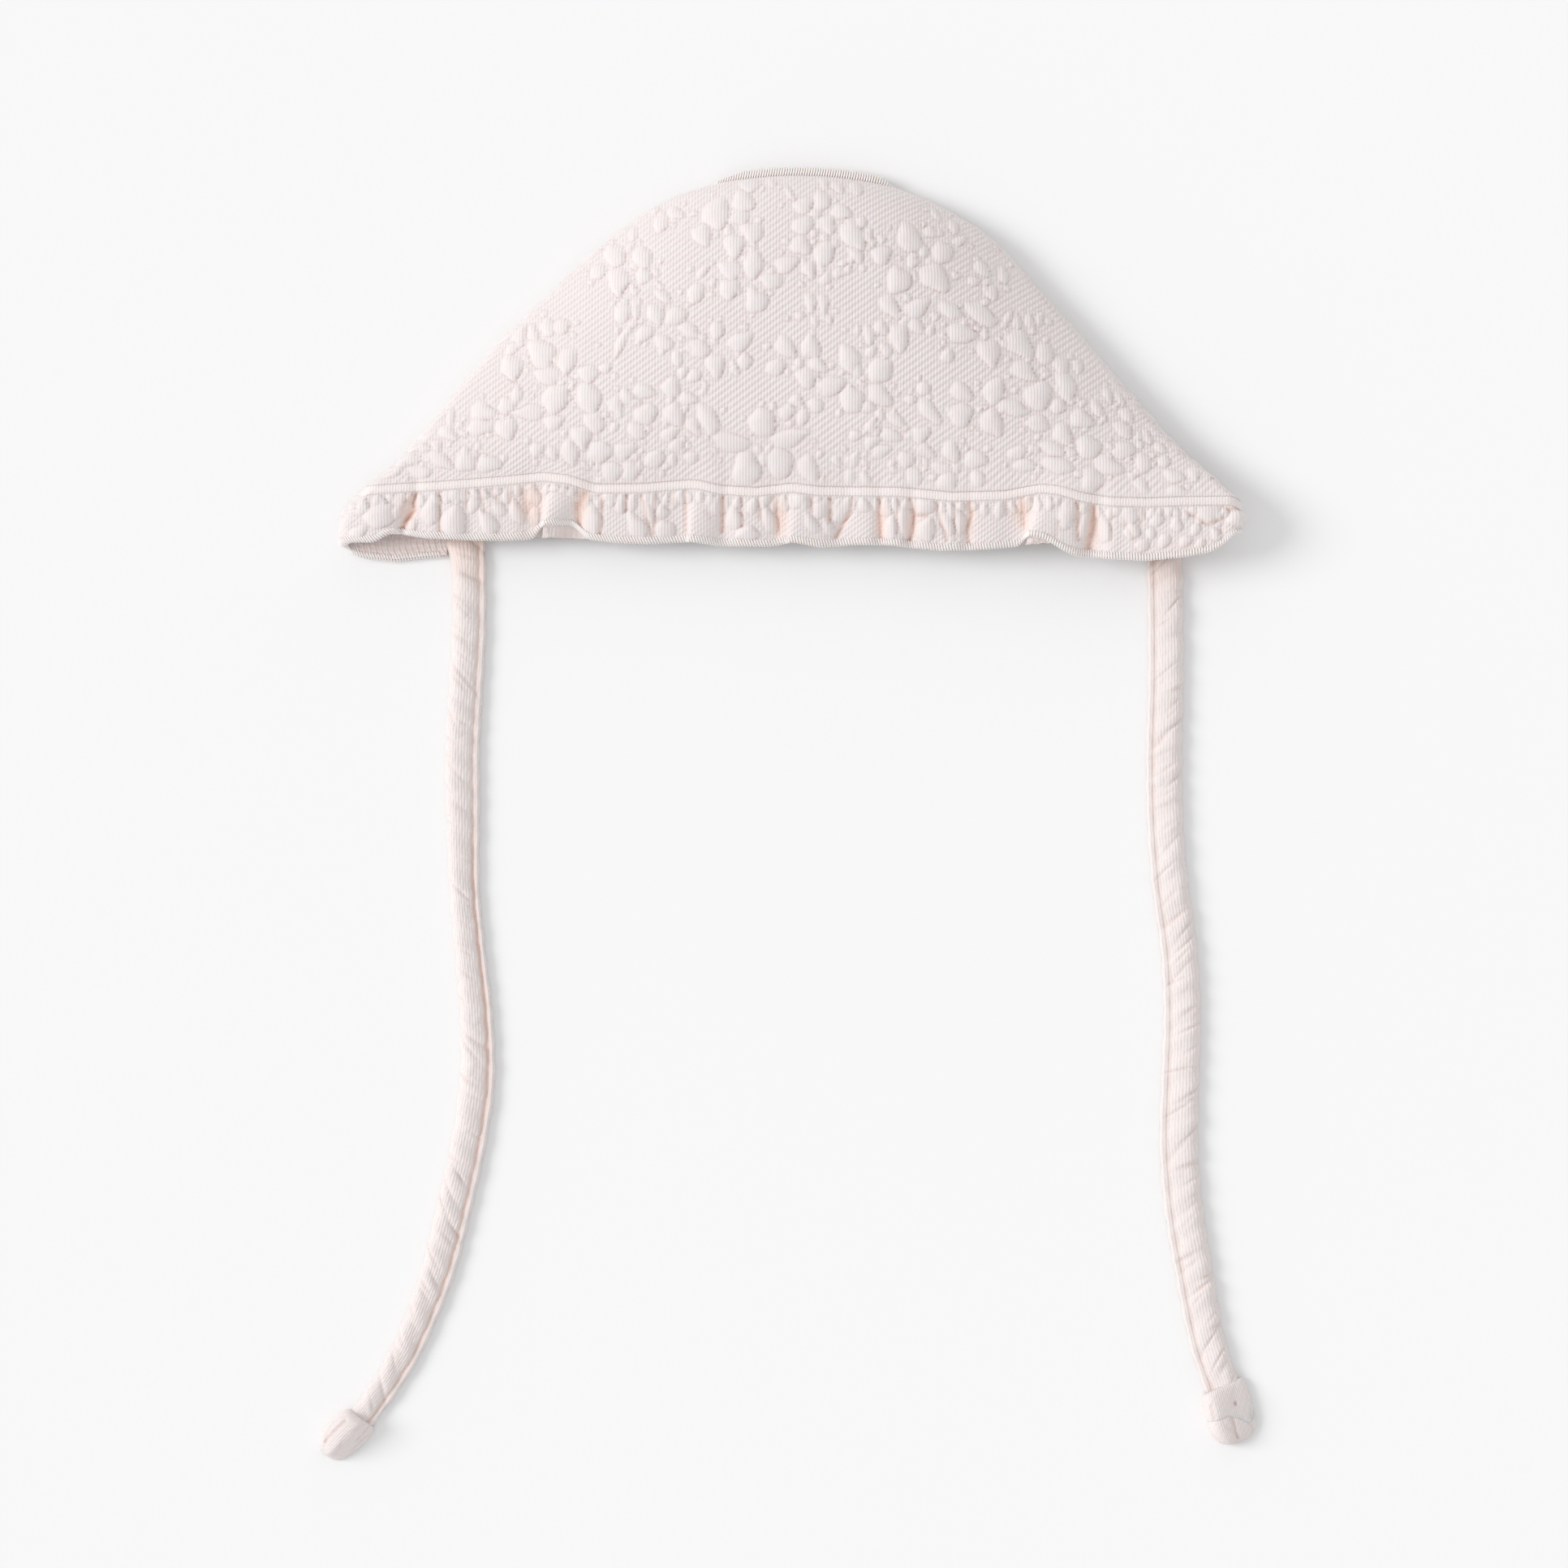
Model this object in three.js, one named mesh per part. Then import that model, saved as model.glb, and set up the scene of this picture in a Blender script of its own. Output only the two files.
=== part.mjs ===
// A baby's bonnet of padded blister knit, laid flat on its back panel, face edge towards -Y.
// Millimetres, +Z up. The origin lies under the middle of the bonnet, on the surface it rests on.
import * as THREE from 'three';

// Driving dimensions
const WALL = 2.0; // padded blister knit, both faces together
const SEWN_GAP = 0.3; // between pieces that are sewn together
const SEAM_WIDTH = 3.2; // band between crown and ruffle, from stitch line to stitch line
const SEAM_PROUD = 0.5; // how far that band stands above the knit
const SEAM_ROUND = 0.6; // its rounded edges
const LIP_DEPTH = 2.0; // overlocked lip at the top, out from the edge
const LIP_LOW = 1.4;
const LIP_HIGH = 3.8;
const LIP_ROUND = 0.5;
const LIP_TAPER = 0.45; // share of its depth left at its two ends
const BINDING_DEPTH = 4.2; // neck binding, front to back
const BINDING_HEIGHT = 2.7;
const BINDING_ROUND = 0.6;
const TIE_WIDTH = 9.7;
const TIE_HEIGHT = 3.8;
const TIE_SIDES = 10;
const TIE_STEPS = 14;
const LIFT_REACH = 12.0; // how far in from a side fold the raised corner comes down to the surface
const ARCH_POWER = 2.4; // the higher, the flatter the top of the arch over the folds
const SEAM_SHARE = 0.25; // share of a gather's height that is left at the seam
const SEAM_FADE = 6; // power by which a gather dies away into the crown

// How finely each piece is divided
const UNDER_STEPS = 4; // round the head, on each side of the under layer
const FOLD_STEPS = 5;
const UPPER_STEPS = 64;
const CROWN_ROWS = 14; // of the back panel too, so that their sewn edges run together
const RUFFLE_ROWS = 5;
const PANEL_COLUMNS = 10;
const LIP_COLUMNS = 20;
const BINDING_COLUMNS = 16;

// Rings round the head, from the front edge of the crown (first) to its top seam (last).
// left and right: the side folds in plan; bow: how far the middle stands towards +Y, on the upper
// and on the under layer; fold: height of the rounded side fold; lift: how far its underside is
// off the surface; rise: height of the middle over the folds; panel: edges of the back panel.
const RING_COLUMNS = [
  'leftX', 'leftY', 'rightX', 'rightY', 'bow', 'underBow',
  'leftFold', 'rightFold', 'leftLift', 'rightLift', 'rise', 'panelLeft', 'panelRight',
];
const CROWN_RINGS = [
  [-120.6, -34.0, 126.9, -39.0, 3.0, 2.0, 7.6, 9.0, 0.4, 5.0, 3.6, -44.0, 46.0],
  [-114.1, -29.6, 119.6, -32.3, 2.8, 2.0, 8.0, 9.0, 0.2, 3.6, 7.0, -44.5, 46.5],
  [-104.9, -20.1, 109.0, -23.1, 2.6, 2.0, 8.6, 9.2, 0.0, 1.6, 11.6, -45.0, 47.0],
  [-93.6, -5.9, 96.6, -9.3, 2.4, 2.0, 9.0, 9.4, 0.0, 0.6, 14.4, -45.0, 47.0],
  [-81.0, 7.9, 82.6, 7.0, 2.4, 2.2, 9.0, 9.2, 0.0, 0.2, 15.4, -44.5, 46.5],
  [-66.9, 21.7, 69.5, 21.4, 2.6, 2.4, 8.8, 9.0, 0.0, 0.0, 14.6, -42.5, 45.0],
  [-51.5, 35.5, 56.8, 35.2, 2.8, 2.6, 8.4, 8.6, 0.0, 0.0, 11.4, -38.0, 42.0],
  [-36.3, 45.9, 42.0, 44.6, 3.0, 2.8, 7.2, 7.4, 0.0, 0.0, 6.8, -29.0, 34.5],
  [-22.6, 50.7, 29.4, 49.8, 3.0, 3.0, 5.0, 5.0, 0.0, 0.0, 0.9, -17.0, 24.0],
];
// The hem of the ruffle; here the panel columns give where its under layer ends, at the ties.
const HEM_RING = [-127.8, -51.2, 126.4, -47.8, -1.6, -12.0, 7.4, 8.6, 0.4, 5.2, -2.4, -97.6, 111.8];
const RUFFLE_UNDER_LEFT = -97.6;
const RUFFLE_UNDER_RIGHT = 111.8;

// Gathers along the face edge: where each stands, its half width, how far it stands up at the hem,
// and how far it draws the hem and the seam towards the crown.
const GATHER_COLUMNS = ['at', 'half', 'rise', 'hemUp', 'seamUp'];
const GATHERS = [
  [-117.5, 7.5, 1.4, 1.6, 0.0],
  [-107.2, 2.6, -2.2, 1.4, 0.0],
  [-98.5, 4.6, 0.9, 0.0, 0.8],
  [-88.0, 4.2, 0.8, 0.0, 0.0],
  [-78.5, 3.6, 0.7, 0.2, 0.4],
  [-64.4, 7.0, 4.2, 3.9, 2.2],
  [-56.4, 2.4, -1.8, 0.0, 0.0],
  [-40.5, 8.5, 1.1, -0.5, 0.0],
  [-24.4, 4.6, 2.1, 0.9, 1.0],
  [-11.0, 2.4, -1.3, 0.0, 0.0],
  [5.2, 7.5, 2.0, 0.0, -0.4],
  [19.4, 4.0, 1.0, 0.0, 0.0],
  [29.7, 3.8, 1.5, 0.3, -0.4],
  [46.5, 8.5, 1.1, -0.6, -0.3],
  [65.0, 4.5, 1.0, 2.2, 2.0],
  [73.6, 7.5, 4.4, 3.2, 0.6],
  [85.0, 2.6, -2.2, -0.6, 0.0],
  [104.5, 14.0, 0.5, -4.8, 0.8],
];

// Centre lines of the ties in plan, from the neck edge to the knot
const TIE_ROUTES = {
  left: [
    [-91.8, -41.0], [-91.5, -55.3], [-91.5, -73.7], [-92.5, -92.1], [-93.4, -110.5], [-93.2, -128.9],
    [-92.9, -147.3], [-91.3, -165.7], [-89.5, -184.1], [-89.2, -202.5], [-91.8, -220.9],
    [-95.9, -239.3], [-100.7, -257.7], [-107.9, -276.1], [-112.9, -285.3], [-118.4, -293.6],
    [-122.2, -298.6],
  ],
  right: [
    [105.4, -43.0], [105.5, -55.3], [105.8, -73.7], [105.8, -92.1], [105.3, -110.5], [105.6, -128.9],
    [107.0, -147.3], [109.5, -165.7], [110.4, -184.1], [109.9, -202.5], [109.5, -220.9],
    [110.9, -239.3], [113.9, -257.7], [117.4, -276.1], [121.8, -289.6],
  ],
};
// Knots: which way each lies from the tie's end, in plan, and its length and width
const KNOTS = {
  left: { heading: [-0.70, -0.71], length: 14.4, width: 11.0 },
  right: { heading: [0.22, -0.97], length: 16.0, width: 13.0 },
};
// Sections of a knot, as shares of its length and width, with the height of each
const KNOT_COLUMNS = ['along', 'across', 'height'];
const KNOT_SECTIONS = [
  [0.0, 0.74, 3.8],
  [0.06, 0.94, 5.8],
  [0.22, 1.0, 7.4],
  [0.42, 0.98, 7.4],
  [0.56, 0.9, 5.8],
  [0.78, 0.88, 5.0],
  [0.93, 0.72, 4.2],
  [1.0, 0.44, 3.0],
];
const KNOT_SIDES = 10;
const KNOT_CLEARANCE = 0.9; // the knot is turned a little from the tie's end face

// The middle of the bonnet's own box, in the coordinates of the tables above
const MIDDLE_X = -0.28;
const MIDDLE_Y = -0.08;

const knit = new THREE.MeshStandardMaterial({ color: 0xf2e8e4, roughness: 0.95, metalness: 0 });
const panelKnit = new THREE.MeshStandardMaterial({ color: 0xefe4e0, roughness: 0.95, metalness: 0 });
const thread = new THREE.MeshStandardMaterial({ color: 0xfbf8f6, roughness: 0.8, metalness: 0 });
const binding = new THREE.MeshStandardMaterial({ color: 0xf3e3dd, roughness: 0.95, metalness: 0 });

const { lerp } = THREE.MathUtils;

function named(columns, row) {
  return Object.fromEntries(columns.map((column, index) => [column, row[index]]));
}

function mixRows(columns, rowA, rowB, share) {
  return named(columns, rowA.map((value, index) => lerp(value, rowB[index], share)));
}

// The ring at a station from 0, the crown's front edge, to 1, its top, by a Catmull-Rom spline
function crownRing(station) {
  const last = CROWN_RINGS.length - 1;
  const place = station * last;
  const low = Math.min(Math.floor(place), last - 1);
  const t = place - low;
  const rows = [-1, 0, 1, 2].map((step) => CROWN_RINGS[THREE.MathUtils.clamp(low + step, 0, last)]);
  return named(RING_COLUMNS, rows[1].map((value, column) => {
    const [before, , after, beyond] = rows.map((row) => row[column]);
    const slopeIn = (after - before) / 2;
    const slopeOut = (beyond - value) / 2;
    const cubic = 2 * value - 2 * after + slopeIn + slopeOut;
    const square = -3 * value + 3 * after - 2 * slopeIn - slopeOut;
    return ((cubic * t + square) * t + slopeIn) * t + value;
  }));
}

// The ring at a share of the ruffle's depth, from 0 at the seam to 1 at the hem
function ruffleRing(share) {
  const front = [...CROWN_RINGS[0]];
  const down = SEAM_WIDTH + 2 * SEWN_GAP;
  front[RING_COLUMNS.indexOf('leftY')] -= down;
  front[RING_COLUMNS.indexOf('rightY')] -= down;
  front[RING_COLUMNS.indexOf('panelLeft')] = RUFFLE_UNDER_LEFT;
  front[RING_COLUMNS.indexOf('panelRight')] = RUFFLE_UNDER_RIGHT;
  const ring = mixRows(RING_COLUMNS, front, HEM_RING, share);
  const flare = Math.sin((share * Math.PI) / 2);
  const sides = mixRows(RING_COLUMNS, front, HEM_RING, flare);
  return { ...ring, leftX: sides.leftX, rightX: sides.rightX };
}

// Where a ring lies in plan at x: on the line between its side folds, bowed towards +Y
function planY(ring, x, bow) {
  const across = (x - ring.leftX) / (ring.rightX - ring.leftX);
  return lerp(ring.leftY, ring.rightY, across) + bow * (1 - (2 * across - 1) ** 2);
}

// A point of a ring. turn runs round the head: 0 is the middle of the upper layer, 1 the start of
// the side fold, 1.5 its end on the under layer, 2 the inner edge there; negative to the left.
// inset goes in from the outer face. The upper layer is an arch over a straight chord, and the
// rounded fold starts where its own slope is the arch's.
function ringPoint(ring, turn, inset) {
  const out = Math.sign(turn) || 1;
  const reach = Math.abs(turn);
  const halves = [ring.leftFold / 2, ring.rightFold / 2];
  const centres = [ring.leftX + halves[0], ring.rightX - halves[1]];
  const lifts = [ring.leftLift, ring.rightLift];
  const endSlope = (2 * ARCH_POWER * ring.rise) / (centres[1] - centres[0]);
  const chordSlope = (2 * halves[1] + lifts[1] - 2 * halves[0] - lifts[0]) / (centres[1] - centres[0]);
  const angles = [Math.atan(endSlope + chordSlope), Math.atan(endSlope - chordSlope)];
  const side = out < 0 ? 0 : 1;
  let x;
  let z;
  if (reach <= 1) {
    const ends = [0, 1].map((end) => ({
      x: centres[end] + (end === 0 ? -1 : 1) * halves[end] * Math.sin(angles[end]),
      z: lifts[end] + halves[end] * (1 + Math.cos(angles[end])),
    }));
    const share = (turn + 1) / 2;
    const width = ends[1].x - ends[0].x;
    const arch = 1 - reach ** ARCH_POWER;
    const archSlope = (-out * 2 * ARCH_POWER * reach ** (ARCH_POWER - 1)) / width;
    const slope = Math.atan((ends[1].z - ends[0].z) / width + ring.rise * archSlope);
    x = lerp(ends[0].x, ends[1].x, share) + inset * Math.sin(slope);
    z = lerp(ends[0].z, ends[1].z, share) + ring.rise * arch - inset * Math.cos(slope);
  } else if (reach <= 1.5) {
    const angle = lerp(angles[side], Math.PI, (reach - 1) * 2);
    x = centres[side] + out * (halves[side] - inset) * Math.sin(angle);
    z = lifts[side] + halves[side] + (halves[side] - inset) * Math.cos(angle);
  } else {
    const share = (reach - 1.5) * 2;
    x = lerp(centres[side], out < 0 ? ring.panelLeft : ring.panelRight, share);
    z = lifts[side] * Math.exp(-(((x - centres[side]) / LIFT_REACH) ** 2)) + inset;
  }
  return new THREE.Vector3(x, planY(ring, x, reach <= 1.25 ? ring.bow : ring.underBow), z);
}

// Sum of the gathers at x, each a rounded wave, on the upper layer only
function gatherAt(x, turn) {
  const sum = { rise: 0, hemUp: 0, seamUp: 0 };
  const fade = THREE.MathUtils.smoothstep(1.25 - Math.abs(turn), 0, 0.25);
  for (const gather of GATHERS.map((row) => named(GATHER_COLUMNS, row))) {
    const wave = fade * Math.exp(-(((x - gather.at) / gather.half) ** 2));
    sum.rise += wave * gather.rise;
    sum.hemUp += wave * gather.hemUp;
    sum.seamUp += wave * gather.seamUp;
  }
  return sum;
}

function crownPoint(turn, station, inset) {
  const point = ringPoint(crownRing(station), turn, inset);
  const gather = gatherAt(point.x, turn);
  const fade = (1 - station) ** SEAM_FADE;
  point.y += gather.seamUp * fade;
  point.z += gather.rise * SEAM_SHARE * fade;
  return point;
}

function rufflePoint(turn, share, inset) {
  const point = ringPoint(ruffleRing(share), turn, inset);
  const gather = gatherAt(point.x, turn);
  point.y += lerp(gather.seamUp, gather.hemUp, share);
  point.z += gather.rise * lerp(SEAM_SHARE, 1, Math.sin((share * Math.PI) / 2));
  return point;
}

// The turns at which a ring is cut, from the under layer on the left to that on the right
function turnsRound() {
  const runs = [
    evenly(-2, -1.5, UNDER_STEPS), evenly(-1.5, -1, FOLD_STEPS), evenly(-1, 1, UPPER_STEPS),
    evenly(1, 1.5, FOLD_STEPS), evenly(1.5, 2, UNDER_STEPS),
  ];
  return runs.flatMap((run, index) => (index === 0 ? run : run.slice(1)));
}

// A closed body from loops of points, an even number in each: every loop is a closed section,
// joined to the next, and the first and last are closed by quads across the section
function loftedBody(loops) {
  const sides = loops[0].length;
  const positions = loops.flat().flatMap((point) => [point.x, point.y, point.z]);
  const faces = [];
  for (let i = 0; i + 1 < loops.length; i += 1) {
    for (let j = 0; j < sides; j += 1) {
      const a = i * sides + j;
      const b = i * sides + ((j + 1) % sides);
      faces.push(a, b, b + sides, a, b + sides, a + sides);
    }
  }
  const last = (loops.length - 1) * sides;
  for (let j = 0; j + 1 < sides / 2; j += 1) {
    const opposite = sides - 1 - j;
    faces.push(j, opposite - 1, j + 1, j, opposite, opposite - 1);
    faces.push(last + j, last + j + 1, last + opposite - 1);
    faces.push(last + j, last + opposite - 1, last + opposite);
  }
  const geometry = new THREE.BufferGeometry();
  geometry.setAttribute('position', new THREE.Float32BufferAttribute(positions, 3));
  geometry.setIndex(faces);
  geometry.computeVertexNormals();
  return geometry;
}

// A closed wall of cloth: pointAt(column, row, inset) gives its outer and inner faces. Each column
// is one section, along the rows on the inner face and back along them on the outer face.
function clothWall(columns, rows, pointAt) {
  return loftedBody(columns.map((column) => {
    const inner = rows.map((row) => pointAt(column, row, WALL));
    const outer = rows.map((row) => pointAt(column, row, 0));
    return [...inner, ...outer.reverse()];
  }));
}

function evenly(from, to, count) {
  return Array.from({ length: count + 1 }, (_, i) => lerp(from, to, i / count));
}

function crownBand() {
  return clothWall(turnsRound(), evenly(0, 1, CROWN_ROWS), crownPoint);
}

function ruffle() {
  return clothWall(turnsRound(), evenly(1, 0, RUFFLE_ROWS), rufflePoint);
}

function backPanel() {
  return clothWall(evenly(0, 1, PANEL_COLUMNS), evenly(0, 1, CROWN_ROWS), (share, station, inset) => {
    const ring = crownRing(station);
    const x = lerp(ring.panelLeft + SEWN_GAP, ring.panelRight - SEWN_GAP, share);
    return new THREE.Vector3(x, planY(ring, x, ring.underBow), WALL - inset);
  });
}

// The band between crown and ruffle; its section is a flat bead, given by how far each corner lies
// in front of the crown's edge and how far in from the outer face
function seamBand() {
  const back = SEWN_GAP;
  const front = SEWN_GAP + SEAM_WIDTH;
  const edgeTop = SEAM_ROUND - SEAM_PROUD;
  const edgeLow = WALL - SEAM_ROUND;
  const section = [
    [back, edgeTop], [back + SEAM_ROUND, -SEAM_PROUD], [front - SEAM_ROUND, -SEAM_PROUD], [front, edgeTop],
    [front, edgeLow], [front - SEAM_ROUND, WALL], [back + SEAM_ROUND, WALL], [back, edgeLow],
  ];
  return loftedBody(turnsRound().map((turn) => {
    const onUnderside = THREE.MathUtils.smoothstep(Math.abs(turn), 1.1, 1.4);
    const ring = ruffleRing(0);
    return section.map(([forward, inset]) => {
      const proud = inset < 0 ? lerp(inset, 0, onUnderside) : inset;
      const point = ringPoint(ring, turn, proud);
      const gather = gatherAt(point.x, turn);
      point.y += gather.seamUp + front + SEWN_GAP - forward;
      point.z += gather.rise * SEAM_SHARE;
      return point;
    });
  }));
}

// The overlocked lip at the top, in front of the edges of the band and the back panel
function backSeam() {
  const section = [
    [0, LIP_LOW], [LIP_DEPTH - LIP_ROUND, LIP_LOW], [LIP_DEPTH, LIP_LOW + LIP_ROUND],
    [LIP_DEPTH, LIP_HIGH - LIP_ROUND], [LIP_DEPTH - LIP_ROUND, LIP_HIGH], [0, LIP_HIGH],
  ];
  const top = crownRing(1);
  return loftedBody(evenly(-1, 1, LIP_COLUMNS).map((turn) => {
    const edge = ringPoint(top, turn, 0);
    const depth = lerp(LIP_TAPER, 1, 1 - turn ** 4);
    return section.map(([out, z]) => new THREE.Vector3(edge.x, edge.y + SEWN_GAP + out * depth, z));
  }));
}

// The bound neck edge, between the ties, in front of the under layer
function neckBinding() {
  const section = [
    [0, 0], [BINDING_DEPTH, 0], [BINDING_DEPTH, BINDING_HEIGHT - BINDING_ROUND],
    [BINDING_DEPTH - BINDING_ROUND, BINDING_HEIGHT], [BINDING_ROUND, BINDING_HEIGHT],
    [0, BINDING_HEIGHT - BINDING_ROUND],
  ];
  const ring = crownRing(0);
  const fromX = TIE_ROUTES.left[0][0] + TIE_WIDTH / 2 + SEWN_GAP;
  const toX = TIE_ROUTES.right[0][0] - TIE_WIDTH / 2 - SEWN_GAP;
  return loftedBody(evenly(fromX, toX, BINDING_COLUMNS).map((x) => {
    const backY = planY(ring, x, ring.underBow) - SEWN_GAP;
    return section.map(([forward, z]) => new THREE.Vector3(x, backY - forward, z)).reverse();
  }));
}

function tie(route) {
  const middle = TIE_HEIGHT / 2;
  const path = new THREE.CatmullRomCurve3(route.map(([x, y]) => new THREE.Vector3(x, y, middle)));
  const section = new THREE.Shape(evenly(0, TIE_SIDES - 1, TIE_SIDES - 1).map((i) => {
    const angle = ((i + 0.5) / TIE_SIDES) * 2 * Math.PI;
    const flat = Math.cos(Math.PI / TIE_SIDES);
    return new THREE.Vector2((middle * Math.cos(angle)) / flat, (TIE_WIDTH / 2) * Math.sin(angle));
  }));
  return new THREE.ExtrudeGeometry(section, { steps: TIE_STEPS, bevelEnabled: false, extrudePath: path });
}

// A knot lies in front of the tie's end, its sections resting on the surface
function knot(route, { heading, length, width }) {
  const [endX, endY] = route[route.length - 1];
  const along = new THREE.Vector3(heading[0], heading[1], 0).normalize();
  const side = new THREE.Vector3(-along.y, along.x, 0);
  return loftedBody(KNOT_SECTIONS.map((row) => {
    const section = named(KNOT_COLUMNS, row);
    const reach = KNOT_CLEARANCE + section.along * length;
    const centre = new THREE.Vector3(endX, endY, section.height / 2).addScaledVector(along, reach);
    return evenly(0, KNOT_SIDES - 1, KNOT_SIDES - 1).map((i) => {
      const angle = ((i + 0.5) / KNOT_SIDES) * 2 * Math.PI;
      const point = centre.clone().addScaledVector(side, ((section.across * width) / 2) * Math.sin(angle));
      point.z -= ((section.height / 2) * Math.cos(angle)) / Math.cos(Math.PI / KNOT_SIDES);
      return point;
    });
  }));
}

function piece(name, geometry, material) {
  const mesh = new THREE.Mesh(geometry, material);
  mesh.name = name;
  return mesh;
}

const bonnet = new THREE.Group();
bonnet.name = 'baby_bonnet';
bonnet.add(
  piece('crown_band', crownBand(), knit),
  piece('back_panel', backPanel(), panelKnit),
  piece('back_seam', backSeam(), thread),
  piece('seam_band', seamBand(), binding),
  piece('ruffle', ruffle(), knit),
  piece('neck_binding', neckBinding(), binding),
  piece('tie_left', tie(TIE_ROUTES.left), binding),
  piece('tie_right', tie(TIE_ROUTES.right), binding),
  piece('tie_knot_left', knot(TIE_ROUTES.left, KNOTS.left), binding),
  piece('tie_knot_right', knot(TIE_ROUTES.right, KNOTS.right), binding),
);
bonnet.position.set(-MIDDLE_X, -MIDDLE_Y, 0);

export default bonnet;
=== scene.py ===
"""A baby's bonnet of padded floral blister knit, laid flat, with a gathered face ruffle, an
overlocked hem and two knotted ties. Lengths are in millimetres, along the frame's axes, unless a
comment says metres; meshes are written in metres."""

import math

import bpy
import numpy as np
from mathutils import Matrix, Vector


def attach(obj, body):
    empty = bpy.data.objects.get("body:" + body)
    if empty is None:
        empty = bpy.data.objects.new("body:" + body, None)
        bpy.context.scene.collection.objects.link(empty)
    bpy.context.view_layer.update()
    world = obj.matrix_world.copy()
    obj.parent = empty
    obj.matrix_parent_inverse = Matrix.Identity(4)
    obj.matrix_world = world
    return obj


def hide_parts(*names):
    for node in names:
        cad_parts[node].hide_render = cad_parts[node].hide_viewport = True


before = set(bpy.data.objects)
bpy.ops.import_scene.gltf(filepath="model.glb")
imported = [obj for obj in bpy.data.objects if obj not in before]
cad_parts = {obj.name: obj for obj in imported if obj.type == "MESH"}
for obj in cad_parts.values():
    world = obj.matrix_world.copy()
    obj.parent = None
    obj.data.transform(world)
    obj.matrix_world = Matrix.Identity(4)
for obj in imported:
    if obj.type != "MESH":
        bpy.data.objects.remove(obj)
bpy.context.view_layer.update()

# Sizes of the bonnet, the same as the frame's own. MIDDLE is the place in the tables' axes that
# lies at the frame's origin, and FOLD_TURN is half way round a side fold. Of the gathers, the seam
# has SEAM_SHARE, which fades out up the crown, and their dips on the ruffle are GATHER_DIPS as deep.
MM = 0.001
WALL = 2.0
SEWN_GAP = 0.3
SEAM_WIDTH = 3.2
SEAM_TUCK = 0.65
TIE_WIDTH = 9.7
TIE_HEIGHT = 3.8
LIFT_REACH = 12.0
ARCH_POWER = 2.4
SEAM_SHARE = 0.25
SEAM_FADE = 6
LINE_STEP = 0.25
LINE_MARGIN = 5
GATHER_DIPS = 0.75
LEAN_POWER = 0.4
MIDDLE = (-0.28, -0.08)
FOLD_TURN = 1.25

# Rings round the head, from the crown's front edge to its top seam: how far each goes left and
# right, how both layers bow, how thick the side folds are and how far they lift, how high the upper
# layer rises, and where the back panel begins
RING_COLUMNS = (
    "left_x", "left_y", "right_x", "right_y", "bow", "under_bow",
    "left_fold", "right_fold", "left_lift", "right_lift", "rise", "panel_left", "panel_right",
)
CROWN_RINGS = np.array([
    (-120.6, -34.0, 126.9, -39.0, 3.0, 2.0, 7.6, 9.0, 0.4, 5.0, 3.6, -44.0, 46.0),
    (-114.1, -29.6, 119.6, -32.3, 2.8, 2.0, 8.0, 9.0, 0.2, 3.6, 7.0, -44.5, 46.5),
    (-104.9, -20.1, 109.0, -23.1, 2.6, 2.0, 8.6, 9.2, 0.0, 1.6, 11.6, -45.0, 47.0),
    (-93.6, -5.9, 96.6, -9.3, 2.4, 2.0, 9.0, 9.4, 0.0, 0.6, 14.4, -45.0, 47.0),
    (-81.0, 7.9, 82.6, 7.0, 2.4, 2.2, 9.0, 9.2, 0.0, 0.2, 15.4, -44.5, 46.5),
    (-66.9, 21.7, 69.5, 21.4, 2.6, 2.4, 8.8, 9.0, 0.0, 0.0, 14.6, -42.5, 45.0),
    (-51.5, 35.5, 56.8, 35.2, 2.8, 2.6, 8.4, 8.6, 0.0, 0.0, 11.4, -38.0, 42.0),
    (-36.3, 45.9, 42.0, 44.6, 3.0, 2.8, 7.2, 7.4, 0.0, 0.0, 6.8, -29.0, 34.5),
    (-22.6, 50.7, 29.4, 49.8, 3.0, 3.0, 5.0, 5.0, 0.0, 0.0, 0.9, -17.0, 24.0),
])
HEM_RING = np.array(
    (-127.8, -51.2, 126.4, -47.8, -1.6, -12.0, 7.4, 8.6, 0.4, 5.2, -2.4, -97.6, 111.8)
)
RUFFLE_UNDER = (-97.8, 111.8)
LEFT_FLARE = 2.7
LEFT_BULGE = 1.6
RIGHT_BULGE = 1.4

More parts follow.
